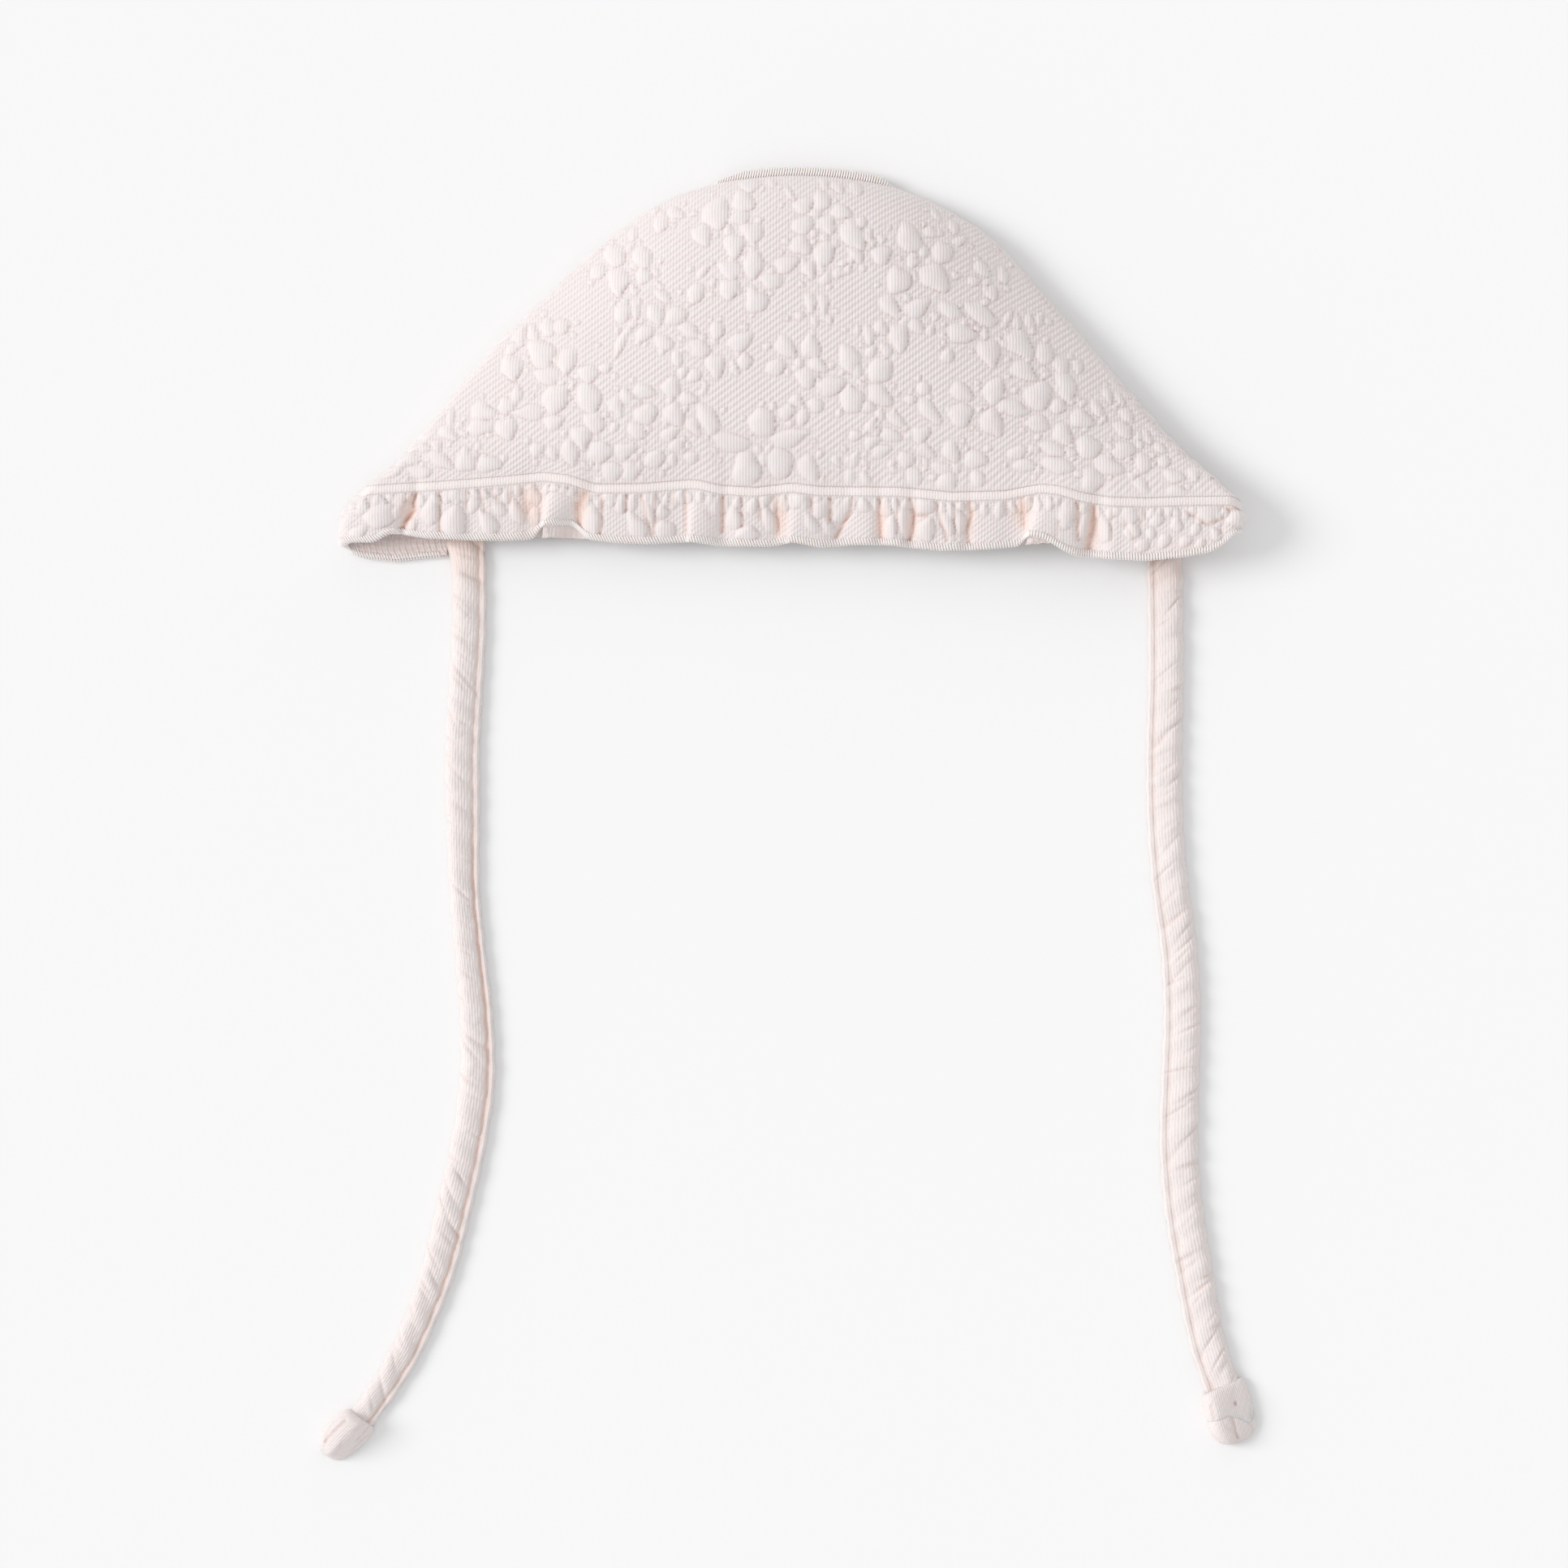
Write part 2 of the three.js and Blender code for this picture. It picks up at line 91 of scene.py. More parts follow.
# Gathers and folds of the face edge: where along the cloth, half width, rise at the hem, how far
# the crest leans over to the left, which gives a fold its sharp edge, and how far it wanders from
# the seam to the hem
GATHERS = (
    (-118.0, 7.5, 1.5, 0.0, 0.0), (-106.0, 1.6, -2.4, 0.0, -4.3), (-101.5, 3.0, 0.9, 0.0, 0.0),
    (-95.0, 3.6, 1.3, 1.2, 0.0), (-86.0, 4.0, 1.0, 0.8, 0.0), (-78.5, 3.2, 0.5, 0.0, 0.0),
    (-74.0, 2.0, -0.6, 0.0, 0.0), (-62.4, 6.0, 4.2, 6.2, 0.0), (-56.2, 2.2, -1.9, 0.0, -2.0),
    (-49.5, 6.0, 0.9, 0.0, 0.0), (-41.0, 5.0, 0.8, 0.0, 0.0), (-24.0, 4.3, 2.3, 4.0, 0.0),
    (-18.6, 1.8, -1.7, 0.0, 0.0), (-13.0, 4.0, 0.4, 0.0, 0.0), (-4.5, 2.5, -0.9, 0.0, 0.0),
    (4.8, 5.0, 2.1, 4.2, 0.0), (15.6, 2.0, -1.0, 0.0, -3.0), (20.5, 3.5, 0.9, 0.0, 0.0),
    (24.6, 1.6, -0.9, 0.0, 0.0), (29.7, 3.4, 1.6, 0.6, 0.0), (33.8, 1.6, -1.3, 0.0, -0.5),
    (37.5, 3.5, 0.9, 0.0, 0.0), (45.0, 4.5, 0.9, 0.5, 0.0), (50.0, 1.6, -1.0, 0.0, -0.7),
    (55.5, 5.0, 0.7, 0.0, 0.0), (62.5, 3.5, -0.4, 0.0, 0.0), (76.5, 6.8, 4.4, 6.8, -1.5),
    (86.3, 2.2, -2.4, 0.0, -1.5), (90.0, 2.6, 0.9, 0.0, 0.0), (95.5, 3.5, 0.6, 0.0, 0.0),
    (106.0, 12.0, 0.6, 0.0, 0.0),
)
# The crown's front edge and the ruffle's hem on the upper layer, seen from above, as (x, y)
SEAM_LINE = (
    (-122, -36.0), (-120, -34.7), (-110, -34.0), (-100, -33.5), (-90, -32.8), (-80, -32.0), (-70, -31.0),
    (-63, -31.8), (-55, -34.4), (-42, -34.3), (-29, -33.2), (-26, -33.4), (-20, -34.8), (-10, -35.4),
    (0, -34.2), (8, -35.2), (30, -35.4), (45, -36.8), (60, -36.4), (66, -35.2), (70, -34.5), (75, -35.0),
    (82, -37.0), (90, -38.2), (100, -38.4), (110, -38.0), (124, -37.8),
)
HEM_LINE = (
    (-130, -50.2), (-118, -50.2), (-115.5, -48.8), (-113.5, -47.8), (-110.5, -47.8), (-104, -49.0),
    (-90, -49.6), (-80, -49.6), (-73.4, -49.2), (-71.8, -47.4), (-70.6, -45.4), (-62, -45.3),
    (-60, -47.2), (-57.5, -49.4), (-50, -50.3), (-40, -50.6), (-29, -50.0), (-20, -51.2),
    (-6, -51.3), (0, -50.2), (8, -51.6), (17, -50.9), (27, -51.0), (36, -52.0), (42, -52.6), (55, -52.2),
    (64, -51.4), (66.2, -48.4), (71, -49.4), (77, -53.0), (80, -54.0), (90, -55.0), (100, -55.5),
    (110, -54.5), (118, -53.0), (122, -50.5), (127, -46.5),
)
# The under layer's hem at the left corner, where it shows below the upper one
UNDER_HEM_LINE = (
    (-130, -50.4), (-128, -51.0), (-125.5, -52.8), (-122, -54.2), (-113, -55.2), (-105, -54.4), (-97, -53.8),
)

TIE_ROUTES = {
    "left": (
        (-91.8, -41.0), (-91.5, -55.3), (-91.5, -73.7), (-92.5, -92.1), (-93.4, -110.5),
        (-93.2, -128.9), (-92.9, -147.3), (-91.3, -165.7), (-89.5, -184.1), (-89.2, -202.5),
        (-91.8, -220.9), (-95.9, -239.3), (-100.7, -257.7), (-107.9, -276.1), (-112.9, -285.3),
        (-118.4, -293.6), (-122.2, -298.6),
    ),
    "right": (
        (105.4, -43.0), (105.5, -55.3), (105.8, -73.7), (105.8, -92.1), (105.3, -110.5),
        (105.6, -128.9), (107.0, -147.3), (109.5, -165.7), (110.4, -184.1), (109.9, -202.5),
        (109.5, -220.9), (110.9, -239.3), (113.9, -257.7), (117.4, -276.1), (121.8, -289.6),
    ),
}
KNOTS = {
    "left": {"heading": (-0.72, -0.70), "length": 14.6, "width": 10.6},
    "right": {"heading": (0.27, -0.96), "length": 16.6, "width": 13.2},
}

# The padded puffs of the crown as seen from above: petals, leaves and stems of a common floral
# blister knit. Each row is x, y, length, width, turn and taper. The turn is the way the long axis
# points, in degrees from +X towards +Y, and the taper is how far that end draws in to a point.
CROWN_PUFFS = (
    (-77, 8, 5.5, 3.6, 60, .3), (-79, 4, 4.0, 2.8, 40, .2), (-73, 8, 4.2, 3.0, 95, .4),
    (-69, 10, 5.2, 3.6, 100, .2), (-65, 10, 5.0, 4.2, 20, .3), (-71, 2.6, 9.0, 6.6, 125, .35),
    (-63.5, -.5, 8.2, 5.2, 260, .6), (-69, -4, 7.4, 4.8, 175, .3), (-79, -2, 8.0, 5.8, 285, .6),
    (-77.5, -9, 5.4, 3.0, 80, .5), (-80.5, -12.4, 4.4, 4.0, 0, .1), (-74.5, -14.5, 9.0, 3.8, 180, .5),
    (-80.5, -19, 6.0, 5.8, 300, .2), (-87, -14, 7.4, 4.6, 345, .3), (-88, -18.4, 7.0, 4.4, 5, .2),
    (-96.5, -15, 5.6, 2.4, 85, .3), (-97, -20, 6.0, 3.4, 325, .4), (-66.5, -10.4, 8.4, 6.8, 60, .2),
    (-57.4, -10, 8.6, 6.4, 110, .3), (-57.6, -3.6, 5.6, 4.6, 180, .3), (-52.4, -2, 3.6, 2.6, 20, .3),
    (-56, -16.8, 6.4, 5.4, 150, .5), (-67, -17.4, 5.4, 4.0, 20, .2), (-59.3, -21.6, 6.4, 5.2, 280, .5),
    (-54, -25, 7.0, 5.4, 15, .3), (-62.5, -26.4, 7.6, 4.6, 280, .5), (-72, -25.6, 4.6, 3.6, 250, .3),
    (-67.5, -26.6, 4.4, 3.0, 300, .4), (-47, -24.6, 6.6, 3.8, 15, .3), (-50.8, -30, 5.6, 4.4, 0, .1),
    (-45.6, -30, 4.6, 4.6, 0, .1), (-92, -27.4, 6.6, 5.2, 100, .3), (-85.6, -29, 7.0, 4.4, 0, .1),
    (-99.4, -27.4, 8.0, 3.8, 330, .3), (-104.6, -23.6, 5.6, 2.6, 345, .3),
    (-107.6, -27, 6.0, 2.8, 0, .3), (-100.4, -23.6, 3.6, 2.6, 300, .3), (-105, -30.6, 6.4, 3.4, 350, .2),
    (-112.6, -30.4, 5.0, 2.6, 10, .3), (-50, 30, 6.8, 5.6, 300, .25), (-42.4, 29.4, 6.2, 5.2, 110, .2),
    (-49, 22.2, 8.6, 5.6, 275, .5), (-42, 24.4, 5.2, 4.0, 100, .4), (-54.8, 25.6, 4.6, 3.8, 30, .2),
    (-45, 36.4, 4.2, 2.6, 80, .3), (-47.6, 13.6, 5.4, 4.4, 60, .3), (-44, 13.6, 7.0, 2.2, 275, .5),
    (-44.8, 20.4, 3.2, 1.9, 110, .3), (-48.4, 4.2, 9.0, 2.6, 250, .7), (-46.2, 8.6, 3.4, 1.6, 60, .3),
    (-46.6, -9.8, 5.0, 3.2, 120, .3), (-49.4, -12.8, 5.6, 3.6, 300, .3), (-50, -18.4, 3.0, 2.2, 60, .2),
    (-21.4, 41.8, 8.6, 7.2, 80, .15), (-14, 45.2, 6.6, 5.6, 110, .2), (-15.4, 40.4, 6.4, 4.0, 200, .4),
    (-11.6, 36.2, 6.6, 5.0, 150, .3), (-12.6, 50.4, 6.2, 4.4, 160, .2), (-37.2, 38.8, 5.4, 4.2, 250, .4),
    (-33, 42, 5.2, 3.2, 340, .3), (-38.8, 43.6, 3.4, 2.4, 60, .2), (-25.4, 35.2, 6.0, 5.0, 300, .2),
    (-18, 36.8, 3.4, 2.4, 90, .4), (-16.4, 32, 6.8, 5.2, 280, .3), (-11, 27.2, 8.2, 5.4, 80, .4),
    (-17.6, 25.4, 6.8, 4.8, 160, .3), (-17.6, 20, 5.8, 5.2, 45, .2), (-6.2, 22.2, 6.6, 4.2, 170, .4),
    (-10.4, 17, 7.4, 5.6, 115, .4), (-25, 25, 5.0, 2.2, 50, .3), (-27.2, 18.4, 6.0, 4.4, 250, .4),
    (-32.6, 12.4, 6.2, 4.6, 20, .2), (-38.6, 13.2, 6.0, 4.4, 120, .4), (-36.2, 17.8, 5.6, 2.8, 320, .3),
    (-41.4, 7.6, 5.4, 3.8, 30, .2), (-28.8, 8.2, 6.0, 3.6, 330, .3), (-21.2, 8.2, 5.2, 4.0, 270, .3),
    (-36, 4.8, 5.6, 4.0, 330, .3), (-26, 3, 6.2, 4.6, 340, .3), (-32.4, .6, 4.6, 3.0, 100, .3),
    (-21.6, -1.8, 6.8, 4.8, 280, .3), (-27.4, -4.4, 4.2, 3.2, 30, .2), (-30.8, -3.6, 3.4, 2.4, 250, .3),
    (-14.4, 5.2, 7.2, 4.6, 25, .3), (-13.4, 0, 4.8, 4.0, 90, .5), (-34, -7.4, 5.4, 4.8, 80, .2),
    (-41.6, -8.6, 6.0, 3.6, 350, .2), (-41, -14.8, 6.4, 5.0, 20, .2), (-33.2, -15.2, 6.4, 5.4, 300, .2),
    (-29.2, -10.8, 5.0, 3.2, 350, .2), (-23.6, -16.4, 8.6, 4.8, 300, .2), (-27.8, -18.6, 5.6, 3.2, 310, .3),
    (-34.4, -20.4, 5.0, 3.4, 30, .2), (-43.6, -19.6, 5.6, 4.0, 330, .3), (-38.6, -27, 5.6, 4.2, 20, .2),
    (-32.6, -23.6, 4.0, 3.4, 0, .1), (-33.8, -27.4, 3.4, 2.6, 90, .3), (-28.4, -27, 3.8, 3.0, 0, .1),
    (-17, -22.4, 10.0, 4.4, 350, .2), (-8.6, -17, 7.4, 7.0, 110, .15), (-.6, -21.4, 10.4, 4.4, 15, .4),
    (-13, -29, 7.8, 7.0, 90, .1), (-3.6, -28, 8.0, 6.6, 300, .15), (4.6, -29.8, 7.4, 5.0, 300, .3),
    (-8.2, -27, 3.6, 2.0, 270, .4), (-1.8, 3.4, 6.8, 4.6, 310, .3), (5, 3.8, 6.4, 5.0, 100, .3),
    (-4.6, -2, 5.4, 4.2, 20, .2), (1.8, -.8, 3.4, 2.4, 90, .3), (3.8, -5, 5.8, 5.0, 300, .2),
    (7.2, -1.6, 5.6, 3.6, 330, .3), (10.8, -7.2, 7.6, 5.0, 10, .2), (15.6, .8, 8.0, 5.4, 110, .4),
    (18, -2.8, 4.0, 2.8, 280, .3), (24.2, -3.2, 7.4, 6.4, 230, .4), (16.6, -11.2, 7.0, 6.2, 300, .2),
    (24.6, -10, 7.6, 4.8, 320, .3), (6.6, -12.6, 4.2, 3.6, 330, .2), (1.2, -11.4, 4.0, 3.2, 330, .3),
    (2.8, -16, 5.0, 3.0, 250, .3), (-1.6, -14.6, 4.4, 3.4, 20, .1), (5, 15.8, 5.6, 3.0, 280, .3),
    (8.6, 15.4, 5.8, 2.8, 275, .3), (6.2, 10.6, 3.6, 2.0, 290, .4), (10.2, 11.2, 3.4, 2.0, 300, .4),
    (2, 12.2, 2.8, 2.2, 0, .1), (3, 38, 6.0, 4.6, 20, .2), (9.8, 38, 5.4, 4.2, 300, .2),
    (2.4, 32, 6.2, 4.8, 330, .3), (9, 30.2, 7.4, 5.2, 70, .3), (17, 35, 9.0, 5.8, 300, .3),
    (21.2, 34.4, 4.6, 2.8, 320, .4), (17.8, 29.4, 5.4, 3.4, 310, .3), (4.6, 25.2, 5.4, 3.6, 290, .3),
    (-1.6, 26.8, 6.4, 4.4, 20, .2), (9.4, 23, 4.6, 2.8, 60, .3), (12.6, 24.4, 3.4, 2.4, 60, .3),
    (15.6, 25.4, 3.0, 2.2, 60, .3), (19.2, 38.8, 3.6, 3.0, 45, .2), (8.2, 45.4, 5.8, 4.4, 100, .2),
    (3.2, 43.8, 5.6, 4.4, 30, .2), (13.8, 41.8, 5.6, 4.0, 350, .3), (8.8, 50.8, 4.6, 2.6, 280, .3),
    (12.8, 49.2, 4.8, 2.6, 310, .3), (17.8, 49.2, 4.6, 3.6, 120, .3), (-6, 51, 4.4, 2.4, 300, .3),
    (-.8, 47.4, 6.4, 1.9, 300, .4), (6.4, 41.6, 3.4, 2.6, 0, .1), (32.6, 34.8, 8.6, 5.8, 110, .2),
    (25, 29.6, 5.4, 4.8, 45, .2), (29.6, 22.6, 7.2, 6.4, 100, .2), (40, 23.2, 9.0, 6.6, 315, .3),
    (42, 30.6, 6.0, 5.4, 90, .1), (36.8, 31, 3.6, 2.6, 90, .2), (33.8, 27.6, 3.4, 2.8, 20, .2),
    (27.4, 14.8, 7.4, 4.0, 310, .2), (35, 14.6, 7.4, 4.6, 40, .2), (34.6, 9.6, 5.4, 3.6, 310, .3),
    (38.6, 8.4, 3.4, 2.4, 60, .2), (29.8, 6.2, 7.6, 5.0, 280, .2), (21.4, 6.8, 6.0, 2.8, 280, .3),
    (24.8, 8.8, 4.4, 3.4, 320, .2), (22, 2.4, 3.6, 2.6, 45, .2), (26, 2.6, 3.8, 2.4, 270, .3),
    (18.2, 8.4, 3.0, 2.0, 90, .2), (38.8, 36.4, 3.8, 3.0, 340, .2), (40.4, 41.6, 4.8, 2.0, 300, .3),
    (45.4, 38, 4.4, 2.6, 290, .3), (47.2, 34.2, 4.2, 2.4, 30, .2), (36.8, -7.8, 3.8, 3.6, 60, .2),
    (38.4, -14.2, 8.6, 3.8, 310, .2), (33.2, -11, 3.2, 2.4, 0, .2), (29, -16.6, 6.2, 3.0, 325, .3),
    (24.6, -15, 3.2, 2.4, 300, .2), (21.2, -13, 3.8, 3.0, 350, .2), (27.6, -20.8, 5.8, 3.2, 350, .2),
    (22, -18.4, 3.6, 3.4, 60, .2), (17.6, -20.8, 3.6, 2.6, 10, .2), (22.4, -22.4, 4.4, 2.6, 20, .2),
    (36, -20.4, 5.6, 4.0, 20, .3), (25, -25, 5.6, 3.0, 20, .3), (32, -27.2, 4.6, 3.8, 350, .2),
    (37.4, -24.8, 5.8, 3.0, 330, .3), (17.2, -27, 4.6, 2.6, 60, .3), (16, -32, 5.0, 2.8, 270, .2),
    (20.6, -32.2, 4.6, 2.4, 300, .2), (12.4, -27.4, 3.2, 2.0, 320, .3), (34, -31.8, 5.2, 4.2, 280, .2),
    (53, 13, 9.6, 4.8, 325, .3), (44.4, 14, 7.0, 4.0, 330, .3), (47.4, 7.6, 7.6, 5.0, 350, .1),
    (43.4, 1.4, 4.0, 3.4, 60, .2), (55.2, 2, 7.8, 5.6, 290, .4), (63.8, 4.8, 9.0, 6.0, 315, .25),
    (59.4, 5, 3.6, 2.2, 150, .5), (70.8, 2.2, 6.2, 4.8, 280, .2), (65.2, -3, 7.8, 4.6, 325, .4),
    (60.6, 12.4, 4.4, 2.2, 60, .3), (63.2, 11.2, 5.0, 2.2, 280, .3), (66.6, 11.6, 4.4, 2.6, 100, .3),
    (69.4, 12, 3.6, 2.2, 90, .3), (56.6, -8.2, 7.4, 5.4, 70, .3), (47.4, -8.8, 6.4, 4.4, 330, .2),
    (47.2, -15, 6.4, 6.0, 20, .2), (56, -17.4, 7.4, 5.8, 300, .3), (61.8, -13.2, 8.6, 4.0, 340, .3),
    (69, -9.6, 8.0, 6.6, 60, .2), (76.8, -7, 9.0, 5.0, 285, .2), (74.6, -12.6, 4.4, 4.0, 60, .2),
    (75.4, -1, 5.4, 4.0, 300, .2), (68.4, -17.6, 6.6, 4.4, 170, .4), (76, -20.8, 6.4, 4.8, 300, .3),
    (81.4, -16.2, 6.6, 4.6, 340, .3), (83, -23.8, 6.6, 5.8, 150, .2), (73.2, -25, 7.4, 3.6, 340, .3),
    (63.2, -25.6, 5.4, 3.4, 10, .2), (65.4, -29.4, 6.4, 3.4, 350, .3), (74.6, -29.6, 8.6, 4.2, 350, .2),
    (88.8, -28.8, 8.6, 4.4, 340, .3), (84, -33, 6.4, 5.6, 250, .2), (93.2, -24.6, 6.4, 4.4, 10, .3),
    (93.2, -19, 6.0, 3.6, 320, .3), (85.8, -13.2, 5.6, 2.8, 300, .3), (88.8, -9.4, 4.8, 2.4, 290, .3),
    (94.2, -14.8, 5.0, 3.0, 310, .3), (98.6, -28, 5.4, 4.4, 100, .2), (104.6, -27.8, 3.6, 3.0, 0, .2),
    (107.4, -32, 6.0, 3.2, 340, .2), (103.6, -24, 4.0, 2.4, 320, .2), (113, -31.6, 4.2, 3.2, 290, .3),
    (100, -21, 4.6, 2.2, 300, .3), (53.4, 26.2, 5.6, 3.4, 310, .3), (59.4, 24.4, 5.4, 2.8, 280, .3),
    (56, 19.2, 4.4, 3.4, 290, .3), (51, 22.6, 3.6, 2.6, 0, .2), (44.6, -25, 5.8, 4.2, 300, .3),
    (51.4, -27, 6.2, 4.4, 0, .2), (42, -29.2, 6.0, 2.6, 350, .2), (43.4, -33.2, 6.2, 5.0, 270, .1),
    (52, -32, 4.4, 3.6, 320, .2), (80.4, -1.6, 3.8, 2.6, 280, .3), (58, 33, 3.4, 2.0, 300, .3),
    (92.4, -10.4, 5.0, 2.0, 300, .3), (108, -36.2, 5.4, 2.8, 350, .2), (98, -34, 5.0, 3.0, 320, .2),
)

# The knit, in millimetres of cloth: twill ribs on the ground, fine wales on the padded puffs
GRID_ACROSS = 0.54
GRID_ALONG = 0.39
RIB_ACROSS = 5 * GRID_ACROSS
RIB_ALONG = 5 * GRID_ALONG
RIB_DEPTH = 0.36
STITCH_PERIOD = 3 * GRID_ACROSS
STITCH_DIP = 0.14
NET_ACROSS = 1.35
NET_ALONG = 1.2
NET_DEPTH = 0.34
RELIEF_LOW = 0.35
# The puffs: how far round one the ground feels it, how high one stands, as a base and a share of its
# width, which way the padding has settled, and how round the dome is on its level and its low side
PUFF_REACH = 2.2
PUFF_STAND = (0.37, 0.125)
PUFF_SETTLED = (0.74, -0.67)
PUFF_DOME = 2.2
PUFF_STEEPNESS = (0.7, 0.28)
PUFF_DIP = 0.14
CRUMB_REACH = (0.9, 2.4)
CRUMB_SIZE = (1.3, 2.5)
CRUMB_SHARE = 0.45
# A hollow is how far a place lies below the places one step round it, times a gain, less a start
HOLLOW_STEP = 0.45
HOLLOW_GAIN = 2.2
HOLLOW_START = 0.04


def catmull_rom(rows, places):
    """Rows of a table at places from 0 to 1 along it, on a uniform Catmull-Rom spline."""
    rows = np.asarray(rows, float)
    places = np.asarray(places, float)
    last = len(rows) - 1
    low = np.clip(np.floor(places * last).astype(int), 0, last - 1)
    t = (places * last - low)[..., None]
    before, value, after, beyond = (rows[np.clip(low + step, 0, last)] for step in (-1, 0, 1, 2))
    slope_in = (after - before) / 2
    slope_out = (beyond - value) / 2
    cubic = 2 * value - 2 * after + slope_in + slope_out
    square = -3 * value + 3 * after - 2 * slope_in - slope_out
    return ((cubic * t + square) * t + slope_in) * t + value


def smoothstep(value, low, high):
    share = np.clip((value - low) / (high - low), 0, 1)
    return share * share * (3 - 2 * share)


def bell(distance, half):
    return np.exp(-(distance / half) ** 2)


def columns_of(ring):
    return dict(zip(RING_COLUMNS, np.moveaxis(ring, -1, 0)))


def crown_ring(station):
    """The ring round the head at a station from 0, the crown's front edge, to 1, its top seam."""
    return catmull_rom(CROWN_RINGS, station)


def ruffle_ring(share):
    """The ring at a share of the ruffle's depth, from 0 at the seam to 1 at the hem."""
    share = np.asarray(share, float)[..., None]
    front = CROWN_RINGS[0].copy()
    front[[1, 3]] -= SEAM_WIDTH + 2 * SEWN_GAP
    front[0] -= LEFT_FLARE
    front[[11, 12]] = RUFFLE_UNDER
    ring = front + (HEM_RING - front) * share
    flared = front + (HEM_RING - front) * np.sin(share * math.pi / 2)
    puffed = np.sin(math.pi * np.clip(share[..., 0], 0, 1)) ** 0.8
    ring[..., 0] = flared[..., 0] - LEFT_BULGE * puffed
    ring[..., 2] = flared[..., 2] + RIGHT_BULGE * puffed
    return ring


def plan_y(ring, x, bow):
    """The y of a ring at x: a straight line between its two sides, bowed by a parabola."""
    across = (x - ring["left_x"]) / (ring["right_x"] - ring["left_x"])
    straight = ring["left_y"] + (ring["right_y"] - ring["left_y"]) * across
    return straight + bow * (1 - (2 * across - 1) ** 2)


def layer_y(ring, x, turn):
    """The y of a ring at x, with the bow of the layer that the turn is on."""
    return plan_y(ring, x, np.where(np.abs(turn) <= FOLD_TURN, ring["bow"], ring["under_bow"]))


def fold_ends(ring):
    """Where the upper layer's arch meets the two side folds: x, z and the angle of each fold."""
    half = (ring["left_fold"] / 2, ring["right_fold"] / 2)
    centre = (ring["left_x"] + half[0], ring["right_x"] - half[1])
    lift = (ring["left_lift"], ring["right_lift"])
    width = centre[1] - centre[0]
    end_slope = 2 * ARCH_POWER * ring["rise"] / width
    chord_slope = (2 * half[1] + lift[1] - 2 * half[0] - lift[0]) / width
    angle = (np.arctan(end_slope + chord_slope), np.arctan(end_slope - chord_slope))
    x = (centre[0] - half[0] * np.sin(angle[0]), centre[1] + half[1] * np.sin(angle[1]))
    z = tuple(lift[side] + half[side] * (1 + np.cos(angle[side])) for side in (0, 1))
    return half, centre, lift, angle, x, z


def ring_point(ring, turn, inset):
    """A point of a ring. The turn runs round the head: 0 is the middle of the upper layer, 1 the
    start of the side fold, 1.5 its end, 2 the inner edge of the under layer; negative on the
    left. The inset goes in from the outer face, so that relief on the cloth is a negative one."""
    ring = columns_of(ring)
    half, centre, lift, angle, end_x, end_z = fold_ends(ring)
    out = np.where(turn < 0, -1.0, 1.0)
    reach = np.abs(turn)
    left = turn < 0

    def side(pair):
        return np.where(left, pair[0], pair[1])

    share = (turn + 1) / 2
    width = end_x[1] - end_x[0]
    near = np.minimum(reach, 1)
    arch_slope = -out * 2 * ARCH_POWER * near ** (ARCH_POWER - 1) / width
    slope = np.arctan((end_z[1] - end_z[0]) / width + ring["rise"] * arch_slope)
    upper_x = end_x[0] + width * share + inset * np.sin(slope)
    arch_z = end_z[0] + (end_z[1] - end_z[0]) * share + ring["rise"] * (1 - near ** ARCH_POWER)
    upper_z = arch_z - inset * np.cos(slope)

    round_share = np.clip((reach - 1) * 2, 0, 1)
    swing = side(angle) + (math.pi - side(angle)) * round_share
    fold_x = side(centre) + out * (side(half) - inset) * np.sin(swing)
    fold_z = side(lift) + side(half) + (side(half) - inset) * np.cos(swing)

    under_share = np.clip((reach - 1.5) * 2, 0, 1)
    under_x = side(centre) + (side((ring["panel_left"], ring["panel_right"])) - side(centre)) * under_share
    under_z = side(lift) * bell(under_x - side(centre), LIFT_REACH) + inset

    x = np.where(reach <= 1, upper_x, np.where(reach <= 1.5, fold_x, under_x))
    z = np.where(reach <= 1, upper_z, np.where(reach <= 1.5, fold_z, under_z))
    return x, layer_y(ring, x, turn), z


def cloth_x(ring, turn):
    """Distance along the cloth from the middle line, as x on the upper layer and then on round
    the fold."""
    ring = columns_of(ring)
    half, centre, _, angle, end_x, _ = fold_ends(ring)
    left = turn < 0
    reach = np.abs(turn)
    upper = end_x[0] + (end_x[1] - end_x[0]) * (turn + 1) / 2
    start = np.where(left, -end_x[0], end_x[1])
    arc = np.where(left, half[0] * (math.pi - angle[0]), half[1] * (math.pi - angle[1]))
    flat = np.where(left, ring["panel_left"] - centre[0], centre[1] - ring["panel_right"])
    beyond = start + arc * np.clip((reach - 1) * 2, 0, 1) + flat * np.clip((reach - 1.5) * 2, 0, 1)
    return np.where(reach <= 1, upper, np.where(left, -beyond, beyond))


def on_upper(turn):
    """1 on the upper layer, falling to 0 half way round the side folds."""
    return smoothstep(FOLD_TURN - np.abs(turn), 0, FOLD_TURN - 1)


def gather_at(x, turn, share):
    """Sum of the gathers on the upper layer at cloth place x: rise and lean."""
    waves = [on_upper(turn) * bell(x - row[0] - row[4] * share, row[1]) for row in GATHERS]
    return [sum(wave * row[column] for wave, row in zip(waves, GATHERS)) for column in (2, 3)]


